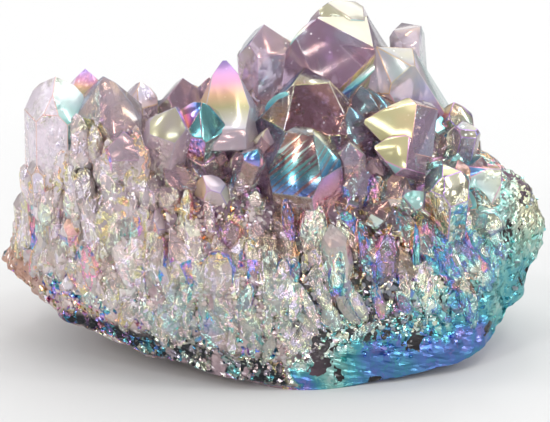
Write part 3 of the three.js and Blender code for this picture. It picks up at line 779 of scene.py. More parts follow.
class Growth:
    """Geometry nodes that scatter grains over a bed."""

    def __init__(self, name):
        self.tree = bpy.data.node_groups.new(name, "GeometryNodeTree")
        self.tree.interface.new_socket("Bed", in_out="INPUT", socket_type="NodeSocketGeometry")
        self.tree.interface.new_socket("Grown", in_out="OUTPUT", socket_type="NodeSocketGeometry")

    def node(self, kind, settings=None, sockets=None):
        made = self.tree.nodes.new(kind)
        for key, value in (settings or {}).items():
            setattr(made, key, value)
        for key, value in (sockets or {}).items():
            if isinstance(value, bpy.types.NodeSocket):
                self.tree.links.new(value, made.inputs[key])
            else:
                made.inputs[key].default_value = value
        return made.outputs


def grow_grains(name, bed, spacing, smallest, largest, seed):
    g = Growth(name)
    bed_in = g.node("NodeGroupInput")[0]
    wanted = g.node("GeometryNodeInputNamedAttribute", {"data_type": "FLOAT"}, {"Name": "gritty"})[0]
    scatter = g.node("GeometryNodeDistributePointsOnFaces", {"distribute_method": "POISSON"},
                     {"Mesh": bed_in, "Distance Min": spacing, "Density Max": CROWDED / spacing**2,
                      "Density Factor": wanted, "Seed": seed})
    grain = bpy.data.objects.new(name + "_grain", grain_mesh())
    shape = g.node("GeometryNodeObjectInfo", None, {"Object": grain, "As Instance": True})["Geometry"]
    lean = g.node("FunctionNodeRandomValue", {"data_type": "FLOAT_VECTOR"},
                  {"Min": (-LEAN, -LEAN, 0), "Max": (LEAN, LEAN, SPIN), "Seed": seed + 1})[0]
    turned = g.node("FunctionNodeRotateRotation", {"rotation_space": "LOCAL"},
                    {"Rotation": scatter["Rotation"], "Rotate By": lean})[0]
    wide = g.node("FunctionNodeRandomValue", {"data_type": "FLOAT"},
                  {2: smallest, 3: largest, "Seed": seed + 2})[1]
    placed = g.node("GeometryNodeInstanceOnPoints", None,
                    {"Points": scatter["Points"], "Instance": shape, "Rotation": turned, "Scale": wide})[0]
    marked = placed
    for n, attribute in enumerate(("hue", "film")):
        draw = g.node("FunctionNodeRandomValue", {"data_type": "FLOAT"},
                      {2: 0.0, 3: 1.0, "Seed": seed + 3 + n})[1]
        marked = g.node("GeometryNodeStoreNamedAttribute", {"data_type": "FLOAT", "domain": "INSTANCE"},
                        {"Geometry": marked, "Name": attribute, "Value": draw})[0]
    real = g.node("GeometryNodeRealizeInstances", None, {"Geometry": marked})[0]
    g.node("NodeGroupOutput", None, {0: real})
    carrier = linked(name, bed.data)
    carrier.modifiers.new("grow", "NODES").node_group = g.tree
    mesh = bpy.data.meshes.new_from_object(carrier.evaluated_get(bpy.context.evaluated_depsgraph_get()))
    bpy.data.objects.remove(carrier)
    bpy.data.objects.remove(grain)
    mesh.name = name
    mesh.materials.clear()
    mesh.set_sharp_from_angle(angle=CREASE)
    return linked(name, mesh)


# %% Where the grains grow
RIM_LOW, RIM_FROM, RIM_SLOPE = 1.2 * MM, 1 * MM, 0.16  # the rim's height, and where and how it rises
DARK_BAND = 2.6 * MM  # the height above the rim that stays bare
GRAIN_TOP = 26 * MM
BARE_WEST = -33 * MM
FEW, SPARSE = 0.25, 0.12  # shares of the grains that are left between patches, and at the right


def grittiness(place):
    """How densely grains stand at a place on the rock."""
    rim_height = RIM_LOW + max(0, RIM_FROM - place.x) * RIM_SLOPE
    if place.z < rim_height + DARK_BAND or place.z > GRAIN_TOP or place.x < BARE_WEST:
        return 0
    patchy = mix(FEW, 1, noise.noise(place * 150) > 0)
    return patchy * mix(1, SPARSE, climb(place.x, 0, 10 * MM))


gritty = matrix.data.attributes.new("gritty", "FLOAT", "POINT")
for vert in matrix.data.vertices:
    gritty.data[vert.index].value = grittiness(vert.co)
druzy = grow_grains("wall_druzy", matrix, 0.5 * MM, 0.3 * MM, 0.85 * MM, 3)
print(len(druzy.data.polygons), "faces of fine quartz")

# %% [markdown]
# ## Shader tools
# Long chains of Math nodes are hard to read. A small class holds a node's output and gives it Python's
# + - * /, each of which adds the Math node, so that a mask reads like a sum. Colours and vectors go through
# Mix and Vector Math, because a Math node would turn them grey.

# %% A value that a node gives
class Value:
    """A node's output that takes + - * / as a number does."""

    def __init__(self, shader, socket):
        self.shader, self.socket = shader, socket

    def __add__(self, other):
        return self.shader.math("ADD", self, other)

    __radd__ = __add__

    def __mul__(self, other):
        return self.shader.math("MULTIPLY", self, other)

    __rmul__ = __mul__

    def __sub__(self, other):
        return self.shader.math("SUBTRACT", self, other)

    def __rsub__(self, other):
        return self.shader.math("SUBTRACT", other, self)

    def __truediv__(self, other):
        return self.shader.math("DIVIDE", self, other)


# %% A material that is built node by node
HALF = (0.5, 0.5, 0.5)
BENDS, BEND = 700.0, 0.0022  # how many to the metre, and how far they push a cell's edge


class Shader:
    """A material, or another owner's node tree, that is built node by node."""

    def __init__(self, name, owner=None):
        self.owner = owner or bpy.data.materials.new(name)
        self.owner.use_nodes = True
        self.tree = self.owner.node_tree
        self.tree.nodes.clear()

    def node(self, kind, settings=None, sockets=None, out=0):
        made = self.tree.nodes.new("ShaderNode" + kind)
        for key, value in (settings or {}).items():
            if key == "stops":
                ramp = made.color_ramp
                while len(ramp.elements) < len(value):
                    ramp.elements.new(1)
                for element, (place, colour) in zip(ramp.elements, value):
                    element.position, element.color = place, (*colour, 1)
            else:
                setattr(made, key, value)
        for key, value in (sockets or {}).items():
            if isinstance(value, Value):
                self.tree.links.new(value.socket, made.inputs[key])
            else:
                made.inputs[key].default_value = value
        return Value(self, made.outputs[out])

    def math(self, operation, a, b=0.0):
        return self.node("Math", {"operation": operation}, {0: a, 1: b})

    def vector(self, operation, a, b=None, scale=None):
        sockets = {0: a}
        if b is not None:
            sockets[1] = b
        if scale is not None:
            sockets["Scale"] = scale
        return self.node("VectorMath", {"operation": operation}, sockets)

    def glitter(self, place, fineness, tilt, tall=0.45):
        """A normal that leans another way in every small cell, and the cells' random colours."""
        bend = self.node("TexNoise", None, {"Vector": place, "Scale": BENDS, "Detail": 2.0}, out=1)
        bend = self.vector("SCALE", self.vector("SUBTRACT", bend, HALF), scale=BEND)
        crooked = self.vector("MULTIPLY", self.vector("ADD", place, bend), (1, 1, tall))
        cells = self.node("TexVoronoi", None, {"Vector": crooked, "Scale": fineness}, out=1)
        lean = self.vector("SCALE", self.vector("SUBTRACT", cells, HALF), scale=tilt)
        normal = self.node("NewGeometry", out=1)
        return self.vector("NORMALIZE", self.vector("ADD", normal, lean)), cells

    def ramp(self, value, low, high):
        """0 where value is below low, 1 where it is above high, smooth between."""
        return self.node("MapRange", {"interpolation_type": "SMOOTHSTEP"}, {0: value, 1: low, 2: high})

    def blend(self, factor, a, b):
        return self.node("Mix", {"data_type": "RGBA"}, {"Factor": factor, 6: a, 7: b}, out=2)

    def finish(self, surface, volume=None, kind="OutputMaterial"):
        output = self.tree.nodes.new("ShaderNode" + kind)
        self.tree.links.new(surface.socket, output.inputs["Surface"])
        if volume:
            self.tree.links.new(volume.socket, output.inputs["Volume"])
        print(self.owner.name, "has", len(self.tree.nodes), "nodes")
        return self.owner

    def noise(self, place, scale, detail=3.0, stretch=None, distortion=0.0):
        """A soft noise from 0 to 1, with scale lumps to the metre, longer upward where stretch says so."""
        if stretch:
            place = self.vector("MULTIPLY", place, (1, 1, stretch))
        return self.node("TexNoise", None, {"Vector": place, "Scale": scale, "Detail": detail,
                                            "Distortion": distortion})


# %% [markdown]
# ## The colours of the coat
# A film a few hundred nanometres thick strengthens some colours and cancels others, and as it thickens the
# colours come round again. The thin film setting of a shader does this with physics, but its colours turn
# with the eye and are hard to place. A ramp of the colours that such a coat runs through, with the
# thickness as its phase, puts gold, rose or teal where the coat has them.

# %% The colours of the coat
AURA = [  # the colours that a growing film thickness runs through, once round
    (0.00, (0.86, 0.83, 0.75)), (0.09, (0.62, 0.58, 0.30)), (0.18, (0.94, 0.58, 0.34)),
    (0.27, (0.88, 0.38, 0.58)), (0.36, (0.58, 0.36, 0.80)), (0.46, (0.16, 0.30, 0.76)),
    (0.55, (0.12, 0.48, 0.58)), (0.62, (0.34, 0.74, 0.68)), (0.68, (0.76, 0.92, 0.90)),
    (0.78, (0.82, 0.85, 0.64)), (0.86, (0.92, 0.72, 0.72)), (0.93, (0.80, 0.74, 0.92)),
    (1.00, (0.86, 0.83, 0.75)),
]


def film_colour(shader, phase):
    above_zero = phase + 2.0
    return shader.node("ValToRGB", {"stops": AURA}, {0: shader.math("FRACT", above_zero)})


def axes(shader, place):
    return [shader.node("SeparateXYZ", None, {0: place}, out=k) for k in range(3)]


# %% [markdown]
# ## The amethyst: what is known at each place
# Low on the wall the quartz is folded under its coat like crumpled foil, while the tall points are flat. At
# the foot the folds are as fine as frost. Masks from 0 to 1 say where, from the place, soft noises and the
# numbers that each facet carries. Painted masks would fit one mesh only, and these fit any crystal.

# %% What is known at each place
# the last number is for the white specks that are painted glints
LUMPS, PATCHES, DRIFT, CELLS, PAINTED_GLINTS = 900.0, 230.0, 160.0, 2000.0, 900.0  # how many to the metre
TO_MM = 1000.0
# where masks start and end, in metres across the druse or up it
HIGH, LEFT, RIGHT = (0.022, 0.034), (-0.030, -0.004), (0.012, 0.030)
FROST_START, FROST_END, FROST_FADE, FROST_TOP = (-0.030, -0.016), 0.020, 0.012, (0.013, 0.021)
TEAL_START, TEAL_TOP, TEAL_SLANT = (0.000, 0.014), (0.013, 0.024), 0.8
# what makes a place folded, and how folded it is where the crust starts and where it is full
ROUGH_FOLDS, LOW_FOLDS, TOP_CALM, CRUSTED = 0.4, 0.07, 0.22, (0.5, 0.85)
TEAL_PATCHES, TEAL_SHARE = (0.35, 0.5), 0.9
CELL_LEAN = 0.25  # how far the cells of the crust lean


class Facet:
    """The facet's numbers, the place, soft noises and masks from 0 to 1."""

    def __init__(self, s):
        self.place = s.node("TexCoord", out=3)
        for name in FACE_NUMBERS:
            setattr(self, name, s.node("Attribute", {"attribute_name": name}, out=2))
        tip, axis = (s.node("Attribute", {"attribute_name": name}, out=1) for name in FACE_PLACES)
        down = s.vector("SUBTRACT", tip, self.place)
        self.below = s.node("VectorMath", {"operation": "DOT_PRODUCT"}, {0: down, 1: axis}, out=1) * TO_MM
        self.x, self.y, self.z = axes(s, self.place)
        self.lumps = s.noise(self.place, LUMPS)
        self.patches = s.noise(self.place, PATCHES)
        self.drift = s.noise(self.place, DRIFT)
        self.high = s.ramp(self.z, *HIGH)
        self.left = 1.0 - s.ramp(self.x, *LEFT)
        self.right = s.ramp(self.x, *RIGHT)
        # the crust is folded coat, the frost is folded as finely as frost, and teal lies low at the right
        folded = self.patches + self.rough * ROUGH_FOLDS + LOW_FOLDS
        folded = folded - self.high * ((1.0 - self.left) * TOP_CALM + LOW_FOLDS)
        self.crust = s.ramp(folded, *CRUSTED)
        across = s.ramp(self.x, *FROST_START) * s.ramp(FROST_END - self.x, 0.0, FROST_FADE)
        self.frost = (1.0 - s.ramp(self.z, *FROST_TOP)) * across
        low_right = s.ramp(self.x - self.z * TEAL_SLANT, *TEAL_START) * (1.0 - s.ramp(self.z, *TEAL_TOP))
        self.teal = low_right * s.ramp(self.patches, *TEAL_PATCHES) * TEAL_SHARE
        self.leaning, cells = s.glitter(self.place, CELLS, self.crust * CELL_LEAN)
        self.lot = axes(s, cells)[0]


# %% [markdown]
# ## The amethyst: folds
# The folds are finer than a mesh should carry, so they are a bump: a noise that is bent by itself runs in
# crooked lines, as creases in foil do. The facets keep a trace of it, since no real face is a perfect
# mirror.

# %% Folds of the coat
FOLDS, FROST = 1150.0, 3200.0  # how many to the metre
FOLD_HEIGHT = 1.2 * MM
FROST_SHARE, TRACE = 0.75, 0.004  # how high the frost and the smooth facets' trace are, against the folds


def folds(s, facet):
    """The normal of the folded coat."""
    wide = s.noise(facet.place, FOLDS, detail=4.0, stretch=0.45, distortion=1.0)
    fine = s.noise(facet.place, FROST, detail=2.0, stretch=0.6, distortion=1.0)
    height = wide * facet.crust + fine * facet.frost * FROST_SHARE + facet.lumps * TRACE
    return s.node("Bump", None, {"Strength": 1.0, "Distance": FOLD_HEIGHT, "Height": height,
                                 "Normal": facet.leaning})


# %% [markdown]
# ## The amethyst: quartz under the coat
# Clear quartz is plain transmission with its real index, 1.544, and a weak violet absorption, so that
# thick parts are darker. Where the coat is too thin to hide the quartz, it still tints the reflections,
# which the shader's thin film gives with a fixed thickness. Milky quartz is full of tiny bubbles. Scatter
# in a volume would show them truly and slowly, and a share of a plain pale surface looks the same.

# %% Clear and milky quartz
CLEAR_FILMS = (195.0, 255.0)  # nanometres: straw to rose, and blue
QUARTZ_INDEX, FILM_INDEX = 1.544, 1.9
DENSITY = 60.0  # how strongly violet quartz absorbs, to the metre
DULL, CLEAN = 0.15, 0.02  # roughness of a point's faces, and of its sides and the folds
CLEAR_ROUGH = (0.25, 0.3)  # the facets' rough numbers from which bare quartz is polished
COLOURLESS, VIOLET = (0.94, 0.89, 0.89, 1), (0.84, 0.73, 0.85, 1)
STAINED = (0.3, 0.95)  # the shares of a crystal's length where violet starts and where it is full
BLUE_HUES, HUE_DRIFT = (0.2, 0.35), 0.4  # the facets' hues from which the thin film is the blue one
# milky quartz low down, high up, and in the frost
LOW_MILK, LOW_LEFT, LOW_EAST = (0.80, 0.64, 0.64, 1), (0.95, 0.83, 0.84, 1), (0.46, 0.35, 0.37, 1)
HIGH_MILK, HIGH_PALE = (0.56, 0.38, 0.54, 1), (0.86, 0.76, 0.86, 1)
# the frost's white, how far it tints, and the white of the specks painted in as glints
FROST_WHITE, FROST_TINT, PAINTED_GLINT_WHITE = (0.96, 0.96, 0.96, 1), 0.7, (0.95, 0.93, 0.93, 1)
TALL, PALE_HAZE = (0.016, 0.028), (0.85, 0.95)
SPECK, SPECKLED = (0.06, 0.16), (0.45, 0.6)
# shares of milk: with a crystal's haze, the same at the left, at the left, in the frost, everywhere
HAZE_MILK, LEFT_HAZE, LEFT_MILK, FROST_MILK, LEAST_MILK = 0.36, 0.3, 0.14, 0.25, 0.03


def clear_quartz(s, facet, normal):
    """See-through quartz, violet toward the tip, under a film too thin to hide it."""
    tip = s.ramp(1.0 - facet.below / facet.long, *STAINED) * facet.violet
    stained = s.blend(tip, COLOURLESS, VIOLET)
    clean = s.math("MAXIMUM", facet.crust, s.ramp(facet.rough, *CLEAR_ROUGH))
    glass = [s.node("BsdfPrincipled", None, {
        "Base Color": stained, "Roughness": DULL - clean * (DULL - CLEAN), "IOR": QUARTZ_INDEX,
        "Transmission Weight": 1.0, "Thin Film Thickness": film, "Thin Film IOR": FILM_INDEX,
        "Normal": normal})
        for film in CLEAR_FILMS]
    which = s.ramp(facet.hue + (facet.drift - 0.5) * HUE_DRIFT, *BLUE_HUES)
    return s.node("MixShader", None, {0: which, 1: glass[0], 2: glass[1]})


def quartz(s, facet, normal):
    """Clear quartz with its milky parts and white specks painted in as tiny glints."""
    low = s.blend(facet.left, LOW_MILK, LOW_LEFT)
    low = s.blend(facet.right, low, LOW_EAST)
    low = s.blend(facet.frost * FROST_TINT, low, FROST_WHITE)
    pale = s.math("MAXIMUM", facet.left, s.ramp(facet.haze, *PALE_HAZE))
    high = s.blend(pale, HIGH_MILK, HIGH_PALE)
    # painted glints: small white specks on the faces, in the milky share
    glint_cells = s.node("TexVoronoi", None, {"Vector": facet.place, "Scale": PAINTED_GLINTS})
    specks = (1.0 - s.ramp(glint_cells, *SPECK)) * s.ramp(facet.patches, *SPECKLED)
    tall = s.ramp(facet.z, *TALL)
    colour = s.blend(specks, s.blend(tall, low, high), PAINTED_GLINT_WHITE)
    milk = s.node("BsdfPrincipled", None, {
        "Base Color": colour, "Roughness": 0.12, "Coat Weight": 0.5, "Coat Roughness": 0.02,
        "Normal": normal})
    share = facet.left * (facet.haze * LEFT_HAZE + LEFT_MILK) + facet.haze * HAZE_MILK + LEAST_MILK
    share = share + specks + facet.frost * FROST_MILK
    return s.node("MixShader", None, {0: share, 1: clear_quartz(s, facet, normal), 2: milk})


# %% [markdown]
# ## The amethyst: the coat
# Where the coat is thick it is a mirror in one of the film's colours. On milky crystals it looks pearly,
# because light comes back through it from below, so there it is less metallic. Growth lines break it on
# some facets, and noise breaks its edge everywhere, since the coat wears off unevenly.

# %% The metal coat
ABSORBED = (0.76, 0.54, 0.80, 1)
PALE_PHASE, PALE_LOT, TEAL_PHASE = 0.73, 0.22, 0.6
WHITENED, WHITE_SHARE = (0.35, 0.5), 0.75  # where the drift lets the frost be white, and how white
DRIFT_PHASE, CRUST_DRIFT, CRUST_LOT = 0.12, 0.5, 0.25  # how far the colour strays
SMOOTH_BRIGHT = 0.85  # how bright a smooth coat's colour is against a folded one's
COAT_DULL, FOLD_POLISH, RULED_POLISH = 0.19, 0.14, 0.02  # roughness
PEARL = 0.6  # how much of the metal a milky crystal takes away
HIDING, VEIL = 0.87, 0.03  # how much of the quartz the coat hides where it is thick, and everywhere
THICK = (0.5, 0.85)  # the film from which the coat starts to hide the quartz, and where it is done
BROKEN, BROKEN_CRUST, RIGHT_FILM = 0.4, 0.5, 0.2
LINE_SLANT, LINE_LUMPS = 1.3, 0.3  # growth lines: their slope, and how much the lumps bend them
LINED_TIP, LINE_FADE, LINE = 4.5, 0.045, (0.48, 0.54)  # mm below the tip; how they fade; how sharp
FLECK, FLECK_SHARE, FLECK_LEAST = (0.35, 0.6), 0.75, 0.12
FROST_COVER, TEAL_COVER = 0.25, 0.8


def coat_colour(s, facet):
    """The film's colour: the facet's own run of colours, white in the frost and teal at the low right."""
    whiten = facet.frost * s.ramp(facet.drift, *WHITENED) * WHITE_SHARE
    phase = (facet.hue - facet.rate * facet.below) * (1.0 - whiten)
    phase = phase + whiten * (PALE_PHASE + (facet.lot - 0.5) * PALE_LOT)
    phase = phase * (1.0 - facet.teal) + facet.teal * TEAL_PHASE
    phase = phase + (facet.drift - 0.5) * (facet.crust * CRUST_DRIFT + DRIFT_PHASE)
    phase = phase + (facet.lot - 0.5) * facet.crust * CRUST_LOT
    colour = film_colour(s, phase)
    return s.vector("SCALE", colour, scale=facet.crust * (1 - SMOOTH_BRIGHT) + SMOOTH_BRIGHT)


def metal_coat(s, facet, normal):
    """Metal, or pearl where the crystal under it is milky."""
    return s.node("BsdfPrincipled", None, {
        "Base Color": coat_colour(s, facet), "Metallic": 1.0 - facet.haze * (1.0 - facet.crust) * PEARL,
        "Roughness": COAT_DULL - facet.crust * FOLD_POLISH - facet.ruled * RULED_POLISH, "Normal": normal})


def coat_cover(s, facet):
    """How much of the quartz the coat hides."""
    broken = (facet.patches - 0.5) * BROKEN + (facet.lot - 0.5) * facet.crust * BROKEN_CRUST
    shown = s.ramp(facet.film + broken + facet.right * RIGHT_FILM, *THICK)
    slanting = facet.below * LINE_SLANT + facet.x * TO_MM + facet.lumps * LINE_LUMPS
    growth = s.node("TexNoise", {"noise_dimensions": "1D"}, {"W": slanting, "Scale": 1.0, "Detail": 2.0,
                                                             "Roughness": 0.7})
    lines = s.ramp(growth + s.math("MAXIMUM", LINED_TIP - facet.below, -1.0) * LINE_FADE, *LINE)
    flecks = facet.crust * (s.ramp(facet.lot, *FLECK) * FLECK_SHARE + FLECK_LEAST)
    least = s.math("MAXIMUM", flecks + facet.frost * FROST_COVER, facet.teal * TEAL_COVER)
    return s.math("MAXIMUM", shown * (1.0 - facet.ruled * lines) * HIDING + VEIL, least)


def coated_amethyst():
    s = Shader("coated_amethyst")
    facet = Facet(s)
    normal = folds(s, facet)
    both = {0: coat_cover(s, facet), 1: quartz(s, facet, normal), 2: metal_coat(s, facet, normal)}
    violet = s.node("VolumeAbsorption", None, {"Color": ABSORBED, "Density": DENSITY})
    return s.finish(s.node("MixShader", None, both), violet)


points.data.materials.append(coated_amethyst())

# %% [markdown]
# ## Where the rock changes colour
# The coat reached the rock too. It is blue and teal at the right, cream in the middle and nearly bare at
# the left, where the reddish rock shows, and a glossy black band runs along the left half of the foot. The
# rock and the grains on it share these zones, so one function works them out from the place for both.

# %% Where the rock changes colour
STRAYS, SPOTS = 120.0, 260.0  # how many to the metre
STRAY_ACROSS, STRAY_UP = 0.016, 0.006  # how far a zone's edge strays, in metres
SPOTTED = (0.57, 0.62)
EAST = (0.016, 0.030)
LOW, THICKER, THICKER_BY = (0.0015, 0.0060), (0.004, 0.012), 0.002  # the foot's band, above the rim
# the foot runs from violet at the middle over teal to royal blue and back to teal at the right
FIRST_VIOLET, FIRST_TEAL = (-0.001, 0.003), (0.003, 0.008)
ROYAL_BLUE, LAST_TEAL = (0.010, 0.015), (0.029, 0.034)
TO_VIOLET, TO_TEAL, TO_LAST = 0.44, 0.12, 0.14  # steps of phase
END_UP, END_STEP, END_PHASE = (0.010, 0.020), 0.05, 0.59
WALL_UP, WALL_STEP, WALL_PHASE = (0.006, 0.018), 0.25, 0.75
GOLD_ACROSS, GOLD_UP = (0.0325, 0.0375), (0.011, 0.021)
STRAY_PHASE, EAST_STRAY = 0.5, 0.25
COVERED_FROM, LOW_COVER, EAST_COVER, LEAST_COVER = (-0.002, 0.006), 0.7, 0.6, 0.5
EAST_SPOTS, LOW_SPOTS = 0.6, 1.5
# the black band: where it widens, its height, how its edges fade, and where it starts and ends
BAND_WIDENS, BAND_WIDER, BAND_HIGH = (-0.034, -0.012), 0.0022, 0.0010
BAND_TOP, BAND_BOTTOM = (-0.0008, 0.0012), (-0.0014, -0.0006)
BAND_START, BAND_END, BAND_SPOTS = (-0.036, -0.032), (0.001, 0.004), (-0.022, -0.01)
BAND_GREENS, GREEN_STEP, GREEN_PHASE = (-0.026, -0.012), 0.3, 0.48
EAST_SMOOTH = 0.95


class Zones:
    """The film's phase over the rock, how much of the rock it covers, where the band is and how smooth."""

    def __init__(self, s):
        self.place = s.node("TexCoord", out=3)
        self.x, _, self.z = axes(s, self.place)
        wander = s.noise(self.place, STRAYS, detail=4.0) - 0.5
        spots = s.ramp(s.noise(self.place, SPOTS), *SPOTTED)
        along = self.x + wander * STRAY_ACROSS
        rim = s.math("MAXIMUM", RIM_FROM - self.x, 0.0) * RIM_SLOPE + RIM_LOW
        height = self.z - rim + wander * STRAY_UP
        self.east = s.ramp(along, *EAST)
        low = 1.0 - s.ramp(height - s.ramp(along, *THICKER) * THICKER_BY, *LOW)
        foot = (s.ramp(along, *FIRST_VIOLET) * TO_VIOLET + s.ramp(along, *FIRST_TEAL) * TO_TEAL
                - s.ramp(along, *ROYAL_BLUE) * TO_TEAL + s.ramp(along, *LAST_TEAL) * TO_LAST)
        end = s.ramp(self.z, *END_UP) * END_STEP + END_PHASE
        wall = (s.ramp(self.z, *WALL_UP) * WALL_STEP + WALL_PHASE) * (1.0 - self.east) + self.east * end
        self.gold = s.ramp(self.x, *GOLD_ACROSS) * s.ramp(self.z, *GOLD_UP)
        self.phase = wall + low * (foot - wall) + wander * (STRAY_PHASE - self.east * EAST_STRAY)
        covered = s.ramp(along, *COVERED_FROM) * low * LOW_COVER + self.east * EAST_COVER + LEAST_COVER
        self.cover = covered - spots * (self.east * EAST_SPOTS + low * LOW_SPOTS)
        band = s.ramp(self.x, *BAND_WIDENS) * BAND_WIDER + BAND_HIGH
        inside = (1.0 - s.ramp(height - band, *BAND_TOP)) * s.ramp(height, *BAND_BOTTOM)
        part = s.ramp(self.x, *BAND_START) * (1.0 - s.ramp(along, *BAND_END))
        self.navy = inside * part * (1.0 - s.ramp(self.x, *BAND_SPOTS) * spots)
        self.smooth = s.math("MAXIMUM", low * s.ramp(along, *BAND_END), self.east * EAST_SMOOTH)
        self.green = self.navy * (s.ramp(self.x, *BAND_GREENS) * GREEN_STEP + GREEN_PHASE)


# %% [markdown]
# ## The rock's finish
# Broken rock glitters because each tiny break faces its own way. Modelling the breaks would take millions
# of faces. A Voronoi texture gives every small cell a random colour, and the same colour leans the cell's
# normal and picks whether it is coated. Toward the right the coat is thicker and lies over the breaks like
# satin.

# %% The rock's finish
BREAKS, GRITS = 1900.0, 600.0  # how many to the metre
BREAK_LEAN, SATIN_LEAN, BAND_LEAN = 1.3, 1.21, 0.8  # how far the breaks lean, and what smoothness takes
GRIT_HEIGHT, SATIN_GRIT = 0.4 * MM, 0.75
CELL_PHASE, SATIN_PHASE = 0.45, 0.40
SATIN_DARK, BAND_DARK = 0.35, 0.55
COAT_GLOSS, SATIN_DULL = 0.12, 0.16
GOLD, GOLD_CELLS, GOLD_LEAST = (0.66, 0.60, 0.36, 1), 0.4, 0.55
DRY = 0.9  # how much of the stone's wet gloss is missing in the band and under the satin
COVER_RANGE, BAND_COVER, BARE = 0.9, 0.1, 0.3
COATED = (0.4, 0.6)
# where the stone changes colour or carries painted shade, in metres across the druse or up it
BED_UP, BED_ACROSS, WEST = (0.019, 0.026), (-0.022, -0.012), (-0.037, -0.031)
REDDISH_UP, DARK_ACROSS, UNDER_UP, UNDER_ACROSS = (0.006, 0.016), (0.0, 0.004), (0.001, 0.009), (0.0, 0.01)
REDDISH, GREY, DARK = (0.60, 0.48, 0.46, 1), (0.36, 0.25, 0.28, 1), (0.02, 0.018, 0.02, 1)
SHADED, SANDY, UNDERSIDE_SHADE = (0.20, 0.12, 0.17, 1), (0.50, 0.27, 0.18, 1), (0.22, 0.13, 0.18, 1)
BLACK = (0.008, 0.010, 0.014, 1)
MOSTLY = 0.8


def stone_colour(s, zones, bed, west):
    """Reddish grey, darker at the right, sandy at the left and black in the band, with painted shade on the
    bed behind the crystals and on the purple-brown underside.
    """
    tint = s.blend(s.ramp(zones.z, *REDDISH_UP), REDDISH, GREY)
    tint = s.blend(s.ramp(zones.x, *DARK_ACROSS), tint, DARK)
    # painted shade: the bed behind the crystals is darkened
    tint = s.blend(bed, tint, SHADED)
    tint = s.blend(west * MOSTLY, tint, SANDY)
    # the underside near the floor: the rind's purple-brown, darkened by painted shade
    under = (1.0 - s.ramp(zones.z, *UNDER_UP)) * (1.0 - s.ramp(zones.x, *UNDER_ACROSS))
    tint = s.blend(under * MOSTLY, tint, UNDERSIDE_SHADE)
    return s.blend(zones.navy, tint, BLACK)


def rock_finish():
    s = Shader("rind")
    zones = Zones(s)
    lean = BREAK_LEAN - zones.smooth * SATIN_LEAN - zones.navy * BAND_LEAN
    leaning, cells = s.glitter(zones.place, BREAKS, lean)
    first, second, _ = axes(s, cells)
    height = s.noise(zones.place, GRITS, detail=5.0) * (1.0 - zones.smooth * SATIN_GRIT)
    bump = s.node("Bump", None, {"Strength": 0.5, "Distance": GRIT_HEIGHT, "Height": height,
                                 "Normal": leaning})
    phase = zones.phase + (first - 0.5) * (CELL_PHASE - zones.smooth * SATIN_PHASE) + zones.green
    film = film_colour(s, phase)
    colour = s.vector("SCALE", film, scale=1.0 - zones.smooth * SATIN_DARK - zones.navy * BAND_DARK)
    coat = s.node("BsdfPrincipled", None, {
        "Base Color": s.blend(zones.gold * (first * GOLD_CELLS + GOLD_LEAST), colour, GOLD),
        "Metallic": 1.0, "Roughness": COAT_GLOSS + zones.smooth * SATIN_DULL, "Normal": bump})
    # the bed behind the crystals, where the stone carries painted shade and less coat
    bed = s.ramp(zones.z, *BED_UP) * s.ramp(zones.x, *BED_ACROSS)
    west = 1.0 - s.ramp(zones.x, *WEST)
    stone = s.node("BsdfPrincipled", None, {
        "Base Color": stone_colour(s, zones, bed, west), "Roughness": 0.15, "Specular IOR Level": 0.3,
        "Coat Weight": 1.0 - s.math("MAXIMUM", zones.navy, zones.smooth) * DRY, "Coat Roughness": 0.04,
        "Normal": bump})
    chosen = second + (zones.cover - 0.5) * COVER_RANGE + zones.navy * BAND_COVER - (bed + west) * BARE
    return s.finish(s.node("MixShader", None, {0: s.ramp(chosen, *COATED), 1: stone, 2: coat}))


matrix.data.materials.append(rock_finish())

# %% [markdown]
# ## The fine quartz's finish
# The grains lie in the rock's zones but are smooth and bright. Each carries two random numbers from the
# geometry nodes: one shifts its colour, and the other says whether it is coated at all.

# %% The fine quartz's finish
GRAIN_PHASE, SMOOTH_PHASE = 0.3, 0.2
PALE_GRAIN, GREY_GRAIN, BAND_GRAIN = (0.66, 0.54, 0.52, 1), (0.20, 0.22, 0.26, 1), (0.012, 0.02, 0.025, 1)
GREY_FROM = (-0.015, 0.02)
GRAIN_COVER, GRAIN_COATED = 0.8, (0.45, 0.7)


def fine_quartz():
    s = Shader("fine_quartz")
    zones = Zones(s)
    hue, film = (s.node("Attribute", {"attribute_name": name}, out=2) for name in ("hue", "film"))
    phase = zones.phase + (hue - 0.5) * (GRAIN_PHASE - zones.smooth * SMOOTH_PHASE) + zones.green
    coat = s.node("BsdfPrincipled", None, {
        "Base Color": film_colour(s, phase), "Metallic": 1.0, "Roughness": 0.08})
    stone = s.blend(s.ramp(zones.x, *GREY_FROM), PALE_GRAIN, GREY_GRAIN)
    stone = s.blend(zones.navy, stone, BAND_GRAIN)
    body = s.node("BsdfPrincipled", None, {"Base Color": stone, "Roughness": 0.06, "Coat Weight": 0.6})
    shown = s.ramp(film + (zones.cover - 0.5) * GRAIN_COVER, *GRAIN_COATED)
    return s.finish(s.node("MixShader", None, {0: shown, 1: body, 2: coat}))


druzy.data.materials.append(fine_quartz())

# %% [markdown]
# ## The floor and the surroundings
# The druse stands on a plain pale floor. A floor with its edge in view draws a line behind the subject, so
# it is large. A mirror coat shows its surroundings, and in an all-white room it would lose its contrast.
# So only the camera sees the background as white, and reflections see it dim.

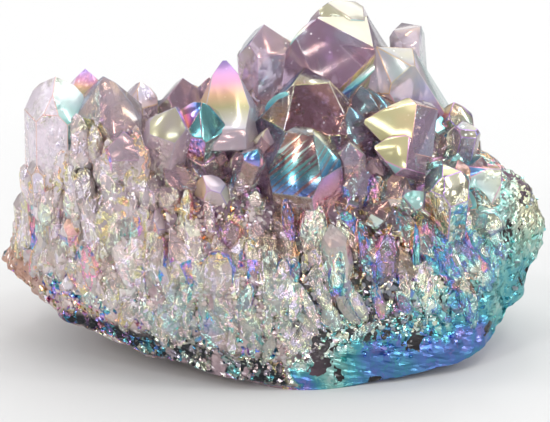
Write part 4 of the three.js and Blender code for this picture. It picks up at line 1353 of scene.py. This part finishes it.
# %% Floor and surroundings
FLOOR_HALF, FLOOR_GREY = 0.7, (0.66, 0.66, 0.66, 1)
DIM, WHITE = 0.3, 1.0
floor_mesh = bmesh.new()
bmesh.ops.create_grid(floor_mesh, x_segments=1, y_segments=1, size=FLOOR_HALF)
floor_data = bpy.data.meshes.new("floor")
floor_mesh.to_mesh(floor_data)
floor_mesh.free()
floor = linked("floor", floor_data)
s = Shader("floor")
matt = s.node("BsdfPrincipled", None, {"Base Color": FLOOR_GREY, "Roughness": 0.9})
floor_data.materials.append(s.finish(matt))
floor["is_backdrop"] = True

bpy.context.scene.world = bpy.data.worlds.new("studio")
s = Shader("studio", bpy.context.scene.world)
seen_by_camera = s.node("LightPath")
dim, white = (s.node("Background", None, {"Color": (1, 1, 1, 1), "Strength": strength})
              for strength in (DIM, WHITE))
s.finish(s.node("MixShader", None, {0: seen_by_camera, 1: dim, 2: white}), kind="OutputWorld")

# %% [markdown]
# ## The lights
# A broad softbox above and behind lights the tops and throws a soft shadow forward. Two smaller ones open
# the sides. The sparkle of a wrinkled coat needs small, hot sources, because each wrinkle shows them as a
# point or a line. A dozen little panels of the same brightness do that from all round.

# %% Lights
def softbox(name, place, size, power, aim=Vector((0, 0, 0.02))):
    light = bpy.data.objects.new(name, bpy.data.lights.new(name, "AREA"))
    bpy.context.scene.collection.objects.link(light)
    light.data.shape = "RECTANGLE"
    light.data.size, light.data.size_y = size
    light.data.energy = power
    light.location = place
    light.rotation_euler = (Vector(place) - aim).to_track_quat("Z", "Y").to_euler()


# place and size in metres, and watts
softbox("top", (0.05, 0.55, 0.74), (1.9, 1.3), 12.4)
softbox("left", (-0.65, -0.3, 0.5), (0.8, 0.7), 1.2)
softbox("right", (0.6, -0.2, 0.64), (0.9, 0.8), 1.4)
GLINT_RADIANCE = 16
GLINTS = [  # place and size, in metres
    ((-0.45, -0.5, 0.42), (0.05, 0.22)), ((0.42, -0.6, 0.45), (0.05, 0.22)),
    ((0.3, -0.15, 0.85), (0.3, 0.05)), ((-0.1, -0.9, 0.2), (0.3, 0.04)),
    ((0.7, -0.1, 0.4), (0.05, 0.3)), ((-0.72, 0, 0.45), (0.05, 0.3)),
    ((-0.2, -0.7, 0.6), (0.08, 0.08)), ((0.15, -0.75, 0.35), (0.08, 0.08)),
    ((0.1, 0.5, 0.6), (0.08, 0.08)), ((-0.6, -0.7, 0.15), (0.1, 0.1)),
    ((0.6, -0.6, 0.12), (0.1, 0.1)), ((-0.3, -0.4, 0.8), (0.08, 0.08)),
]
for n, (place, size) in enumerate(GLINTS):
    softbox(f"glint_{n}", place, size, GLINT_RADIANCE * math.pi * size[0] * size[1])
bpy.context.scene.view_settings.view_transform = "Standard"
print(len(GLINTS), "small lights round the druse")

# %% [markdown]
# ## The pieces in place of the imported solid
# The three meshes stand for the one imported solid and ride on its only body. The packed box and the
# finished one are printed side by side.

# %% Finish
for piece, slot in ((points, "coated_amethyst"), (druzy, "fine_quartz"), (matrix, "rind")):
    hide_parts("druse")
    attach(piece, "root")
size = {"cad": [list(corner) for corner in cad_box], "visual": [list(corner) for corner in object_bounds()]}
print("sizes", {k: [round(1000 * (b - a), 1) for a, b in zip(*v)] for k, v in size.items()})
